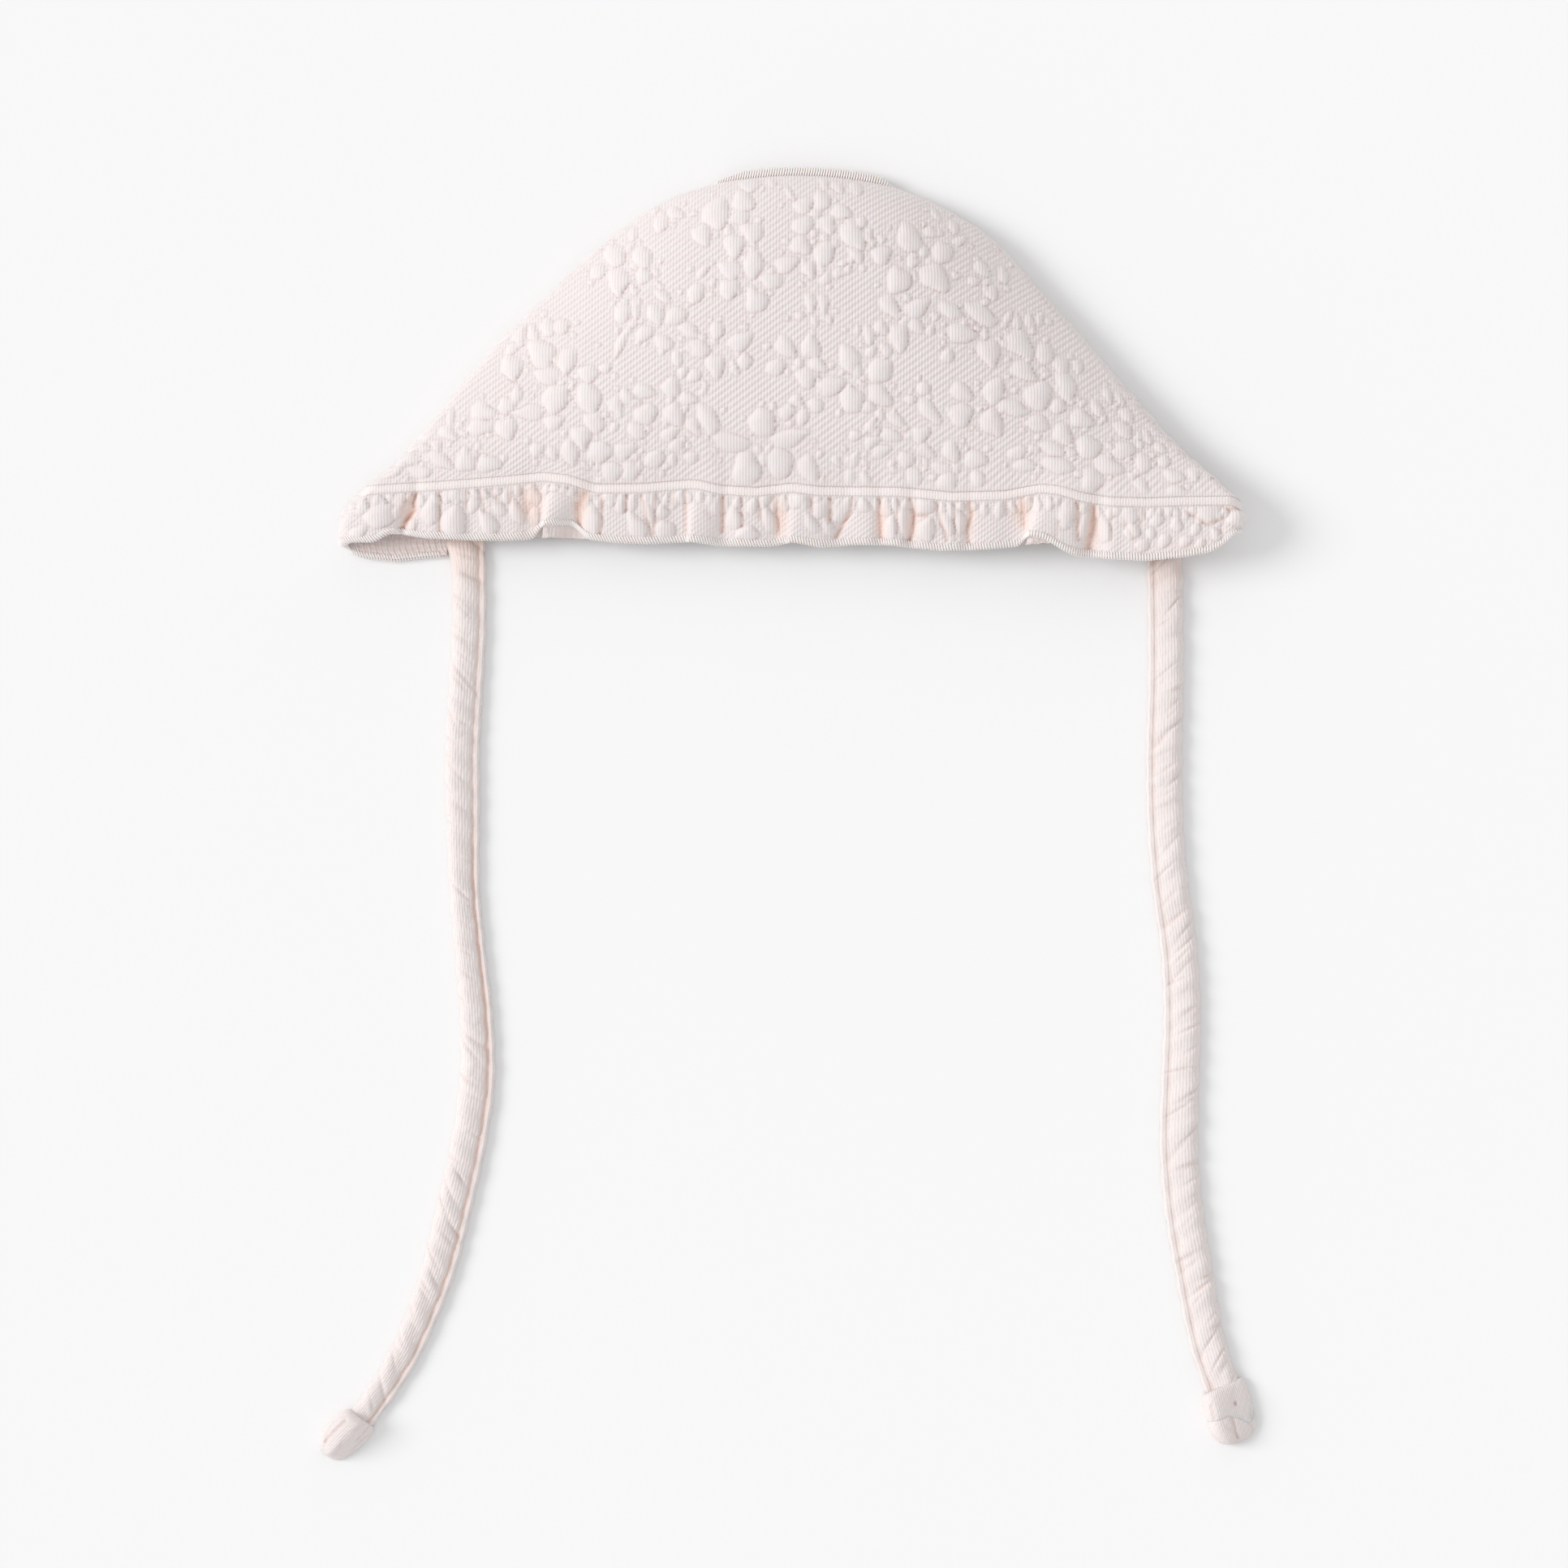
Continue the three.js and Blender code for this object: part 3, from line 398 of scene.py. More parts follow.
def line_height(x, rows, spread=0.8):
    """Height at x of a line through a table's rows, with its corners rounded off."""
    fine = np.arange(rows[0][0] - LINE_MARGIN, rows[-1][0] + LINE_MARGIN, LINE_STEP)
    steps = round(3 * spread / LINE_STEP)
    weights = bell(np.arange(-steps, steps + 1) * LINE_STEP, spread)
    height = np.pad(np.interp(fine, *zip(*rows)), steps, mode="edge")
    rounded = np.convolve(height, weights / weights.sum(), mode="valid")
    return np.interp(x, fine, rounded)


def seam_y(x, y, turn):
    """The crown's front edge, from the place (x, y) where the ring has it."""
    tucked = y - SEAM_TUCK
    return tucked + (line_height(x, SEAM_LINE) - tucked) * on_upper(turn)


def crown_point(turn, station, inset):
    x, y, z = ring_point(crown_ring(station), turn, inset)
    rise, _ = gather_at(x, turn, 0.0)
    front = columns_of(crown_ring(np.zeros_like(station)))
    front_y = layer_y(front, x, turn)
    fade = (1 - station) ** SEAM_FADE
    shift = (seam_y(x, front_y, turn) - front_y) * fade
    return np.stack([x, y + shift, z + rise * SEAM_SHARE * fade], axis=-1)


def ruffle_base(turn, share, inset):
    """The ruffle's cloth: x along the seam, its lean to the left, y and z."""
    x, y, z = ring_point(ruffle_ring(share), turn, inset)
    rise, lean = gather_at(x, turn, share)
    rise = np.where(rise < 0, GATHER_DIPS * rise, rise)
    lean = lean * share ** LEAN_POWER
    front = columns_of(ruffle_ring(np.zeros_like(share)))
    front_y = layer_y(front, x, turn) + (SEAM_WIDTH + 2 * SEWN_GAP)
    start = seam_y(x, front_y, turn) - (SEAM_WIDTH + 2 * SEWN_GAP - 2 * SEAM_TUCK)
    charted = start + (line_height(x - lean, HEM_LINE, 1.0) - start) * share
    y = y + SEAM_TUCK * (1 - share)
    y = y + (charted - y) * on_upper(turn)
    under = start + (line_height(x, UNDER_HEM_LINE) - start) * share
    y = y + (under - y) * smoothstep(-turn, 1.25, 1.5)
    stand = SEAM_SHARE + (1 - SEAM_SHARE) * np.sin(share * math.pi / 2)
    return x, lean, y, z + rise * stand


def ruffle_point(turn, share, inset):
    x, lean, y, z = ruffle_base(turn, share, inset)
    return np.stack([x - lean, y, z], axis=-1)


def puff_field(x, y, puffs):
    """The padded puffs at each point: how high they stand, and how far it is to the nearest
    puff's edge, less than nothing inside one. The padding has settled down and to the right in
    each, so that side is the steeper one."""
    height = np.zeros_like(x)
    edge = np.full_like(x, 2 * PUFF_REACH)
    for at_x, at_y, length, width, turn, taper in puffs:
        window = length / 2 + PUFF_REACH
        near = np.nonzero((np.abs(x - at_x) < window) & (np.abs(y - at_y) < window))[0]
        if not len(near):
            continue
        cos = math.cos(math.radians(turn))
        sin = math.sin(math.radians(turn))
        off_x = x[near] - at_x
        off_y = y[near] - at_y
        along = (off_x * cos + off_y * sin) / (length / 2)
        across = (off_y * cos - off_x * sin) / (width / 2)
        narrow = np.clip(1 - taper * np.clip(along, -1, 1), 0.2, 1.5)
        swing = np.arctan2(across, along)
        uneven = 1 + 0.07 * np.sin(3 * swing + 5 * at_x) + 0.04 * np.sin(5 * swing + 3 * at_y)
        round_off = 2.2 - 1.2 * taper
        oval = np.abs(along) ** round_off + np.abs(across / narrow) ** round_off
        away = oval ** (1 / round_off) * uneven
        settled = PUFF_SETTLED[0] * off_x + PUFF_SETTLED[1] * off_y
        low_side = settled / (np.hypot(off_x, off_y) + 0.05)
        stand = PUFF_STAND[0] + PUFF_STAND[1] * width
        steepness = PUFF_STEEPNESS[0] - PUFF_STEEPNESS[1] * low_side
        dome = stand * np.clip(1 - np.minimum(away, 1) ** PUFF_DOME, 0, 1) ** steepness
        height[near] = np.maximum(height[near], dome)
        edge[near] = np.minimum(edge[near], (away - 1) * width / 2)
    return height, edge


def crumbs_round(puffs, seed):
    """Small padded bumps in the gaps close to the larger puffs."""
    dice = np.random.default_rng(seed)
    made = []
    for at_x, at_y, length, width, _, _ in puffs:
        for _ in range(int(length * CRUMB_SHARE)):
            swing = dice.uniform(0, 2 * math.pi)
            reach = length / 2 + dice.uniform(*CRUMB_REACH)
            size = dice.uniform(*CRUMB_SIZE)
            x = at_x + reach * math.cos(swing)
            y = at_y + (reach - (length - width) / 3) * math.sin(swing)
            made.append((x, y, size * 1.2, size * 0.85, dice.uniform(0, 180), 0.2))
    return made


def ribbed(u, v):
    """Twill ribs that rise to the right, cut by the stitches across them, from 0 in a groove to
    1 on a rib."""
    phase = u / RIB_ACROSS - v / RIB_ALONG
    stitch = 1 - STITCH_DIP + STITCH_DIP * np.cos(2 * math.pi * (u / STITCH_PERIOD + 0.15 * np.sin(v)))
    return np.sqrt(0.5 + 0.5 * np.cos(2 * math.pi * phase)) * stitch


def netted(u, v):
    """The small uneven bumps of the ground beside the puffs, from 0 to 1."""
    wobble = 0.6 * np.sin(u * 1.9 + 0.7 * v) + 0.6 * np.sin(v * 2.3 - 0.5 * u)
    bumps = np.sin(2 * math.pi * u / NET_ACROSS + wobble) + np.sin(2 * math.pi * v / NET_ALONG - wobble)
    return 0.5 + 0.25 * bumps


def knit_relief(x, y, u, v, puffs, swell=1.0, rib_depth=RIB_DEPTH):
    """Height of the knit's face over the cloth at plan place (x, y) and cloth place (u, v)."""
    height, edge = puff_field(x, y, puffs)
    height = height * swell
    calm = smoothstep(edge, 0.1, 1.2)
    ground = calm * rib_depth * ribbed(u, v) + (1 - calm) * NET_DEPTH * netted(u, v)
    dip = PUFF_DIP * bell(np.maximum(edge, 0), 0.5)
    return np.maximum(height, ground - dip) - RELIEF_LOW


def hollows(relief):
    """The relief at each place, and how deep it lies under its surroundings, from 0 to 1; the depth
    is painted on the cloth as shade. relief is called with the offset in x and y of the place looked at."""
    step = HOLLOW_STEP
    middle = relief(0, 0)
    round_it = sum(relief(*offset) for offset in ((step, 0), (-step, 0), (0, step), (0, -step))) / 4
    return middle, np.clip((round_it - middle) * HOLLOW_GAIN - HOLLOW_START, 0, 1)


def crease_lines(x, y, rows):
    """How deep straight creases are at each point. Each row is (x, y) of both ends, how deep the
    crease is, and its half width."""
    depth = np.zeros_like(x)
    for from_x, from_y, to_x, to_y, deep, half in rows:
        reach = math.hypot(to_x - from_x, to_y - from_y)
        step_x = (to_x - from_x) / reach
        step_y = (to_y - from_y) / reach
        walked = np.clip((x - from_x) * step_x + (y - from_y) * step_y, 0, reach)
        away = np.hypot(x - from_x - walked * step_x, y - from_y - walked * step_y)
        depth = np.maximum(depth, deep * bell(away, half))
    return depth


def grid_triangles(index):
    """Triangles between neighbouring rows of a rectangular table of points."""
    low = index[:-1, :-1].ravel()
    low_next = index[:-1, 1:].ravel()
    high = index[1:, :-1].ravel()
    high_next = index[1:, 1:].ravel()
    first = np.stack([low, low_next, high_next], axis=1)
    second = np.stack([low, high_next, high], axis=1)
    return np.concatenate([first, second])


def zip_rows(lower, upper, lower_keys, upper_keys):
    """Triangles between two rows of points whose keys rise along them. Where the keys are level
    the diagonal runs up to the right, along the ribs."""
    triangles = []
    a = 0
    b = 0
    while a + 1 < len(lower) or b + 1 < len(upper):
        can_rise = b + 1 < len(upper)
        if can_rise and (a + 1 == len(lower) or upper_keys[b + 1] <= lower_keys[a + 1] + 1e-6):
            triangles.append((lower[a], upper[b + 1], upper[b]))
            b += 1
        else:
            triangles.append((lower[a], lower[a + 1], upper[b]))
            a += 1
    return np.array(triangles)


def rims(outer_rows, outer_turns, outer_stations, inner, inner_turns, inner_stations):
    """Triangles that close a cloth shell along its four edges."""
    first_column = [row[0] for row in outer_rows]
    last_column = [row[-1] for row in outer_rows]
    return np.concatenate([
        zip_rows(inner[0], outer_rows[0], inner_turns, outer_turns[0]),
        zip_rows(outer_rows[-1], inner[-1], outer_turns[-1], inner_turns),
        zip_rows(first_column, inner[:, 0], outer_stations, inner_stations),
        zip_rows(inner[:, -1], last_column, inner_stations, outer_stations),
    ])


def piece(name, points, triangles, material, cloth=None, crease_shade=None, glow=None):
    """A mesh object from points in millimetres in the tables' frame. cloth gives each point's
    place on the cloth for its UV map; the next values are how deep it lies in the relief, which the
    material paints as shade, and glow how much light comes through the cloth there, painted as a warm tint."""
    shifted = (np.asarray(points, float) + (-MIDDLE[0], -MIDDLE[1], 0)) * MM
    triangles = np.asarray(triangles)
    mesh = bpy.data.meshes.new(name)
    mesh.vertices.add(len(shifted))
    mesh.vertices.foreach_set("co", shifted.ravel())
    mesh.loops.add(triangles.size)
    mesh.loops.foreach_set("vertex_index", triangles.ravel())
    mesh.polygons.add(len(triangles))
    mesh.polygons.foreach_set("loop_start", np.arange(0, triangles.size, 3))
    mesh.polygons.foreach_set("use_smooth", np.ones(len(triangles), bool))
    mesh.update()
    mesh.validate()
    if cloth is not None:
        layer = mesh.uv_layers.new(name="cloth")
        corner = np.empty(len(mesh.loops), int)
        mesh.loops.foreach_get("vertex_index", corner)
        layer.data.foreach_set("uv", (np.asarray(cloth)[corner] * MM).ravel())
    for label, values in (("crease_shade", crease_shade), ("glow", glow)):
        shares = np.zeros(len(shifted))
        if values is not None:
            shares[:len(values)] = values
        mesh.attributes.new(label, "FLOAT", "POINT").data.foreach_set("value", shares)
    mesh.materials.append(material)
    made = bpy.data.objects.new(name, mesh)
    bpy.context.scene.collection.objects.link(made)
    return made


def loft(loops):
    """Points and triangles of a tube through loops of equal length, with its ends closed."""
    loops = np.asarray(loops, float)
    count, sides = loops.shape[:2]
    points = loops.reshape(-1, 3)
    index = np.arange(count * sides).reshape(count, sides)
    index = np.concatenate([index, index[:, :1]], axis=1)
    points = np.concatenate([points, loops[:1].mean(axis=1), loops[-1:].mean(axis=1)])
    first = np.stack([np.full(sides, len(points) - 2), index[0, 1:], index[0, :-1]], axis=1)
    last = np.stack([np.full(sides, len(points) - 1), index[-1, :-1], index[-1, 1:]], axis=1)
    return points, np.concatenate([grid_triangles(index), first, last])


def with_ends(values):
    """A tube's values, and two zeros after them for the middles of its ends."""
    values = np.asarray(values)
    return np.concatenate([values, np.zeros((2, *values.shape[1:]))])


def threads(paths, radius, sides=6):
    """Points and triangles of many short round threads, each through its own row of points. The
    radius is one number, or one for each thread."""
    paths = np.asarray(paths, float)
    count, steps = paths.shape[:2]
    heading = np.gradient(paths, axis=1)
    heading /= np.linalg.norm(heading, axis=-1, keepdims=True)
    aside = np.cross(heading, np.gradient(heading, axis=1) + (1e-3, 2e-3, 3e-3))
    aside /= np.linalg.norm(aside, axis=-1, keepdims=True)
    for step in range(1, steps):
        flip = (aside[:, step] * aside[:, step - 1]).sum(axis=-1) < 0
        aside[flip, step] *= -1
    above = np.cross(heading, aside)
    swing = np.arange(sides) / sides * 2 * math.pi
    size = np.reshape(radius, (-1, 1)) * np.sin(np.linspace(0.12, 0.88, steps) * math.pi) ** 0.35
    ring = aside[:, :, None] * np.cos(swing)[:, None] + above[:, :, None] * np.sin(swing)[:, None]
    loops = paths[:, :, None] + ring * size[..., None, None]
    shapes = [loft(one) for one in loops]
    each = len(shapes[0][0])
    points = np.concatenate([shape[0] for shape in shapes])
    triangles = np.concatenate([shape[1] + each * place for place, shape in enumerate(shapes)])
    return points, triangles


# Colour and nodes. How much painted shade darkens a hollow, how much it deepens the gaps between wales,
# how late the warmest tint, painted bounce light, comes in, and the colour of light that has come through
HOLLOW_SHADE = 0.8
GAP_SHADE = 0.4
DEEPEST_POWER = 2.2
LIT_THROUGH = "#F2C9B3"


def srgb(code):
    """A linear colour from an sRGB hex code."""
    parts = [int(code[at:at + 2], 16) / 255 for at in (1, 3, 5)]
    linear = [part / 12.92 if part <= 0.04045 else ((part + 0.055) / 1.055) ** 2.4 for part in parts]
    return (*linear, 1.0)


def add_node(tree, kind, values=(), links=(), **settings):
    """Adds a node with its settings, its sockets' own values and its links."""
    made = tree.nodes.new(kind)
    for name, value in settings.items():
        setattr(made, name, value)
    for socket, value in dict(values).items():
        made.inputs[socket].default_value = value
    for socket, source in dict(links).items():
        tree.links.new(source, made.inputs[socket])
    return made


def new_material(name):
    made = bpy.data.materials.new(name)
    made.use_nodes = True
    made.node_tree.nodes.clear()
    return made, made.node_tree


def wave_scale(period_mm):
    """Scale of a wave texture, on coordinates in metres, for a period in millimetres."""
    return 2 * math.pi / 20 / (period_mm * MM)


def cotton_knit(name, light, deep, painted_shade_tint, painted_bounce_tint, wale_mm, course_mm, wale_shade):
    """Brushed cotton blister knit, dyed pale pink: matt, slightly furry, light soaks a little way
    into it. Its hollows are painted with shade, and warmer than its crests with painted bounce light,
    and the places where it stands up single are painted warm with light that comes through it. Fine
    upright wales show on the padded parts, and cut the ribs of the ground into stitches."""
    made, tree = new_material(name)
    cloth = add_node(tree, "ShaderNodeUVMap", uv_map="cloth")
    place = add_node(tree, "ShaderNodeTexCoord")
    painted_shade_mask = add_node(tree, "ShaderNodeAttribute", attribute_name="crease_shade")
    cloud = add_node(
        tree, "ShaderNodeTexNoise", {"Scale": 70.0, "Detail": 2.0}, {"Vector": place.outputs["Object"]})
    speck = add_node(
        tree, "ShaderNodeTexNoise", {"Scale": 1600.0, "Detail": 3.0, "Roughness": 0.7},
        {"Vector": place.outputs["Object"]})
    tone = add_node(
        tree, "ShaderNodeMix", {"A": srgb(light), "B": srgb(deep)},
        {"Factor": cloud.outputs["Fac"]}, data_type="RGBA")
    wales = add_node(
        tree, "ShaderNodeTexWave", {"Scale": wave_scale(wale_mm), "Distortion": 0.8, "Detail": 1.0},
        {"Vector": cloth.outputs["UV"]}, bands_direction="X")
    courses = add_node(
        tree, "ShaderNodeTexWave", {"Scale": wave_scale(course_mm), "Distortion": 1.0, "Detail": 1.0},
        {"Vector": cloth.outputs["UV"]}, bands_direction="Y")
    # Painted shade: between the wales it is darker, and more so the deeper the place lies
    gap = add_node(
        tree, "ShaderNodeMath", {1: -1.0, 2: 1.0}, {0: wales.outputs["Fac"]}, operation="MULTIPLY_ADD")
    gap_depth = add_node(
        tree, "ShaderNodeMath", {1: GAP_SHADE, 2: wale_shade}, {0: painted_shade_mask.outputs["Fac"]},
        operation="MULTIPLY_ADD")
    gap_shade = add_node(
        tree, "ShaderNodeMath", links={0: gap.outputs[0], 1: gap_depth.outputs[0]}, operation="MULTIPLY")
    shade = add_node(
        tree, "ShaderNodeMath", {1: HOLLOW_SHADE}, {0: painted_shade_mask.outputs["Fac"], 2: gap_shade.outputs[0]},
        operation="MULTIPLY_ADD", use_clamp=True)
    lit_through = add_node(tree, "ShaderNodeAttribute", attribute_name="glow")
    glowing = add_node(
        tree, "ShaderNodeMix", {"B": srgb(LIT_THROUGH)},
        {"Factor": lit_through.outputs["Fac"], "A": tone.outputs["Result"]}, data_type="RGBA")
    shaded = add_node(
        tree, "ShaderNodeMix", {"B": srgb(painted_shade_tint)},
        {"Factor": shade.outputs[0], "A": glowing.outputs["Result"]}, data_type="RGBA")
    # Painted bounce light: the warm tint that comes in late, in the deepest hollows
    deepest = add_node(
        tree, "ShaderNodeMath", {1: DEEPEST_POWER}, {0: painted_shade_mask.outputs["Fac"]}, operation="POWER",
        use_clamp=True)
    painted_bounce = add_node(
        tree, "ShaderNodeMix", {"B": srgb(painted_bounce_tint)},
        {"Factor": deepest.outputs[0], "A": shaded.outputs["Result"]}, data_type="RGBA")
    wale_relief = add_node(
        tree, "ShaderNodeBump", {"Strength": 0.65, "Distance": 0.14 * MM},
        {"Height": wales.outputs["Fac"]})
    course_relief = add_node(
        tree, "ShaderNodeBump", {"Strength": 0.25, "Distance": 0.08 * MM},
        {"Height": courses.outputs["Fac"], "Normal": wale_relief.outputs["Normal"]})
    fibre_relief = add_node(
        tree, "ShaderNodeBump", {"Strength": 0.5, "Distance": 0.12 * MM},
        {"Height": speck.outputs["Fac"], "Normal": course_relief.outputs["Normal"]})
    shader = add_node(
        tree, "ShaderNodeBsdfPrincipled",
        {
            "Roughness": 0.95, "Specular IOR Level": 0.25, "Sheen Weight": 0.2,
            "Sheen Roughness": 0.45, "Subsurface Weight": 0.3, "Subsurface Scale": 0.8 * MM,
            "Subsurface Radius": (1.0, 0.75, 0.65),
        },
        {"Base Color": painted_bounce.outputs["Result"], "Normal": fibre_relief.outputs["Normal"]})
    add_node(tree, "ShaderNodeOutputMaterial", links={"Surface": shader.outputs["BSDF"]})
    return made


def cotton_thread(name, light, deep):
    """Spun cotton sewing thread: white, matt, a little hairy, and faintly twisted."""
    made, tree = new_material(name)
    place = add_node(tree, "ShaderNodeTexCoord")
    hair = add_node(
        tree, "ShaderNodeTexNoise", {"Scale": 2500.0, "Detail": 3.0, "Roughness": 0.7},
        {"Vector": place.outputs["Object"]})
    tone = add_node(
        tree, "ShaderNodeMix", {"A": srgb(deep), "B": srgb(light)},
        {"Factor": hair.outputs["Fac"]}, data_type="RGBA")
    relief = add_node(
        tree, "ShaderNodeBump", {"Strength": 0.6, "Distance": 0.1 * MM}, {"Height": hair.outputs["Fac"]})
    shader = add_node(
        tree, "ShaderNodeBsdfPrincipled",
        {
            "Roughness": 0.85, "Specular IOR Level": 0.3, "Sheen Weight": 0.2,
            "Subsurface Weight": 0.2, "Subsurface Scale": 0.5 * MM,
        },
        {"Base Color": tone.outputs["Result"], "Normal": relief.outputs["Normal"]})
    add_node(tree, "ShaderNodeOutputMaterial", links={"Surface": shader.outputs["BSDF"]})
    return made


def matt_paper(name, light, deep):
    """Seamless background paper: plain, pale and matt, with a faint mottle."""
    made, tree = new_material(name)
    place = add_node(tree, "ShaderNodeTexCoord")
    mottle = add_node(
        tree, "ShaderNodeTexNoise", {"Scale": 3.0, "Detail": 2.0}, {"Vector": place.outputs["Object"]})
    tone = add_node(
        tree, "ShaderNodeMix", {"A": srgb(light), "B": srgb(deep)},
        {"Factor": mottle.outputs["Fac"]}, data_type="RGBA")
    shader = add_node(
        tree, "ShaderNodeBsdfPrincipled", {"Roughness": 1.0, "Specular IOR Level": 0.0},
        {"Base Color": tone.outputs["Result"]})
    add_node(tree, "ShaderNodeOutputMaterial", links={"Surface": shader.outputs["BSDF"]})
    return made


# The real cloth's wales lie about 0.62 mm apart. That is too fine to show, so the wales are drawn
# 0.8 to 0.85 mm apart and the courses 0.7 mm.
blister_knit = cotton_knit(
    "cotton_blister_knit", "#ECE6E5", "#E8E0DF", "#D6BBB5", "#E2B29C",
    wale_mm=0.85, course_mm=0.7, wale_shade=0.08)
tie_knit = cotton_knit(
    "cotton_blister_knit_tie", "#EDE6E4", "#E8DFDD", "#DABFB8", "#E3B29C",
    wale_mm=0.85, course_mm=0.7, wale_shade=0.04)
plain_binding = cotton_knit(
    "cotton_jersey_binding", "#F2EAE8", "#EEE4E2", "#DCC0B8", "#E2B4A0",
    wale_mm=0.8, course_mm=0.7, wale_shade=0.05)
sewing_thread = cotton_thread("cotton_sewing_thread", "#FBF5F3", "#F1E7E4")
floor_paper = matt_paper("seamless_paper", "#F5F5F5", "#F4F4F4")

# The camera looks straight down, and its square picture takes in 444.36 mm of the floor
FRAME_WIDTH = 444.36
LENS = 150.0
SENSOR = 36.0
CAMERA_AT = (-2.02, -118.7)

camera_data = bpy.data.cameras.new("camera")
camera_data.lens = LENS
camera_data.sensor_width = SENSOR
camera_data.clip_end = 20.0
camera = bpy.data.objects.new("camera", camera_data)
camera.location = (CAMERA_AT[0] * MM, CAMERA_AT[1] * MM, FRAME_WIDTH * LENS / SENSOR * MM)
bpy.context.scene.collection.objects.link(camera)
bpy.context.scene.camera = camera

# The ties: flat tubes turned out and stitched down along one edge. Their section as the left tie
# shows it, from its stitched edge over the top and back underneath, as (across, height)
TIE_SECTION = (
    (4.85, 1.2), (4.75, 1.8), (4.3, 2.25), (3.7, 2.35), (3.2, 2.25), (2.95, 2.15), (2.7, 2.35),
    (2.2, 2.7), (1.4, 3.15), (0.2, 3.55), (-1.2, 3.8), (-2.6, 3.7), (-3.8, 3.05), (-4.6, 2.0),
    (-4.85, 1.2), (-4.6, 0.5), (-3.8, 0.1), (-2.0, 0.0), (0.0, 0.0), (2.0, 0.05), (2.9, 0.35),
    (3.6, 0.1), (4.4, 0.2), (4.75, 0.6),
)
TIE_POINTS = 48
TIE_STEP = 0.5
FINE_STEPS = 4000
# Width of each tie along its length, as shares of the length and of the width
TIE_WIDTHS = {
    "left": (
        (0, 0.94), (0.12, 0.98), (0.3, 1.0), (0.42, 0.86), (0.5, 0.9), (0.62, 1.02), (0.8, 1.0), (1, 0.74),
    ),
    "right": ((0, 1.02), (0.15, 1.03), (0.3, 1.04), (0.5, 1.05), (0.7, 1.12), (0.85, 1.1), (1, 1.0)),
}
# How strongly the groove beside the stitched edge shows along each tie: how deep it is pressed, how much
# painted shade it has and how warm it is painted
TIE_GROOVES = {
    "left": ((0, 0.5), (0.3, 0.55), (0.4, 1.0), (0.55, 1.0), (0.7, 0.8), (1, 0.7)),
    "right": ((0, 0.45), (0.3, 0.4), (0.5, 0.3), (0.8, 0.3), (1, 0.5)),
}
TIE_MIRROR = {"left": 1, "right": -1}
TIE_SEEDS = {"left": 11, "right": 23}
# Places across the section of the stitched edge, with its half width, and of the groove beside it
TIE_FLANGE = (4.0, 1.2)
TIE_GROOVE_AT = 2.95
# How much of the crown's relief a tie has, and of the slow swelling along it, in millimetres
TIE_RELIEF = 0.32
TIE_SWELL = 0.2
# Light comes through the tie near its root: how much, how far along and over what half length. The
# left tie's root is broader on one side, and how far along that ends
TIE_GLOW = (0.35, 4, 14)
TIE_FLARE = 2.0
TIE_FLARE_ENDS = (9, 18)


def walked_along(points):
    """Distance walked along a row of points, at each point."""
    return np.concatenate([[0], np.cumsum(np.linalg.norm(np.diff(points, axis=0), axis=1))])


def closed_curve(rows, count):
    """A closed smooth curve through a table's rows, at count even steps."""
    rows = np.asarray(rows, float)
    rows = np.concatenate([rows[-2:], rows, rows[:3]])
    last = len(rows) - 1
    fine = catmull_rom(rows, np.linspace(2 / last, (last - 2) / last, 40 * len(rows)))
    walked = walked_along(fine)
    even = np.linspace(0, walked[-1], count + 1)[:-1]
    return np.stack([np.interp(even, walked, fine[:, axis]) for axis in (0, 1)], axis=-1), even


def even_route(rows, step):
    """A smooth route through a table's rows at even steps, with its headings and distances."""
    fine = catmull_rom(rows, np.linspace(0, 1, FINE_STEPS))
    walked = walked_along(fine)
    even = np.linspace(0, walked[-1], int(walked[-1] / step) + 1)
    line = np.stack([np.interp(even, walked, fine[:, axis]) for axis in (0, 1)], axis=-1)
    heading = np.gradient(line, axis=0)
    heading /= np.linalg.norm(heading, axis=1, keepdims=True)
    return line, heading, even


def creases_across(along, around, seed, length):
    """Slanting creases pressed into a tie, as depths."""
    dice = np.random.default_rng(seed)
    depth = np.zeros_like(along)
    place = 6.0
    while place < length:
        slant = dice.uniform(0.2, 1.1)
        middle = dice.uniform(4, 11)
        reach = dice.uniform(1.5, 4.5)
        line = along - place + slant * (around - middle)
        depth += dice.uniform(0.15, 0.65) * bell(line, dice.uniform(0.4, 0.9)) * bell(around - middle, reach)
        place += dice.uniform(2.2, 6.0)
    return depth


def tie_puffs(seed, length):
    """Small puffs here and there on a tie of that length."""
    dice = np.random.default_rng(seed)
    rows = []
    place = 3.0
    while place < length:
        size = dice.uniform(3.0, 6.0)
        rows.append((dice.uniform(2, 13), -place, size, size * 0.6, dice.uniform(0, 180), 0.3))
        place += dice.uniform(4, 11.0)
    return rows


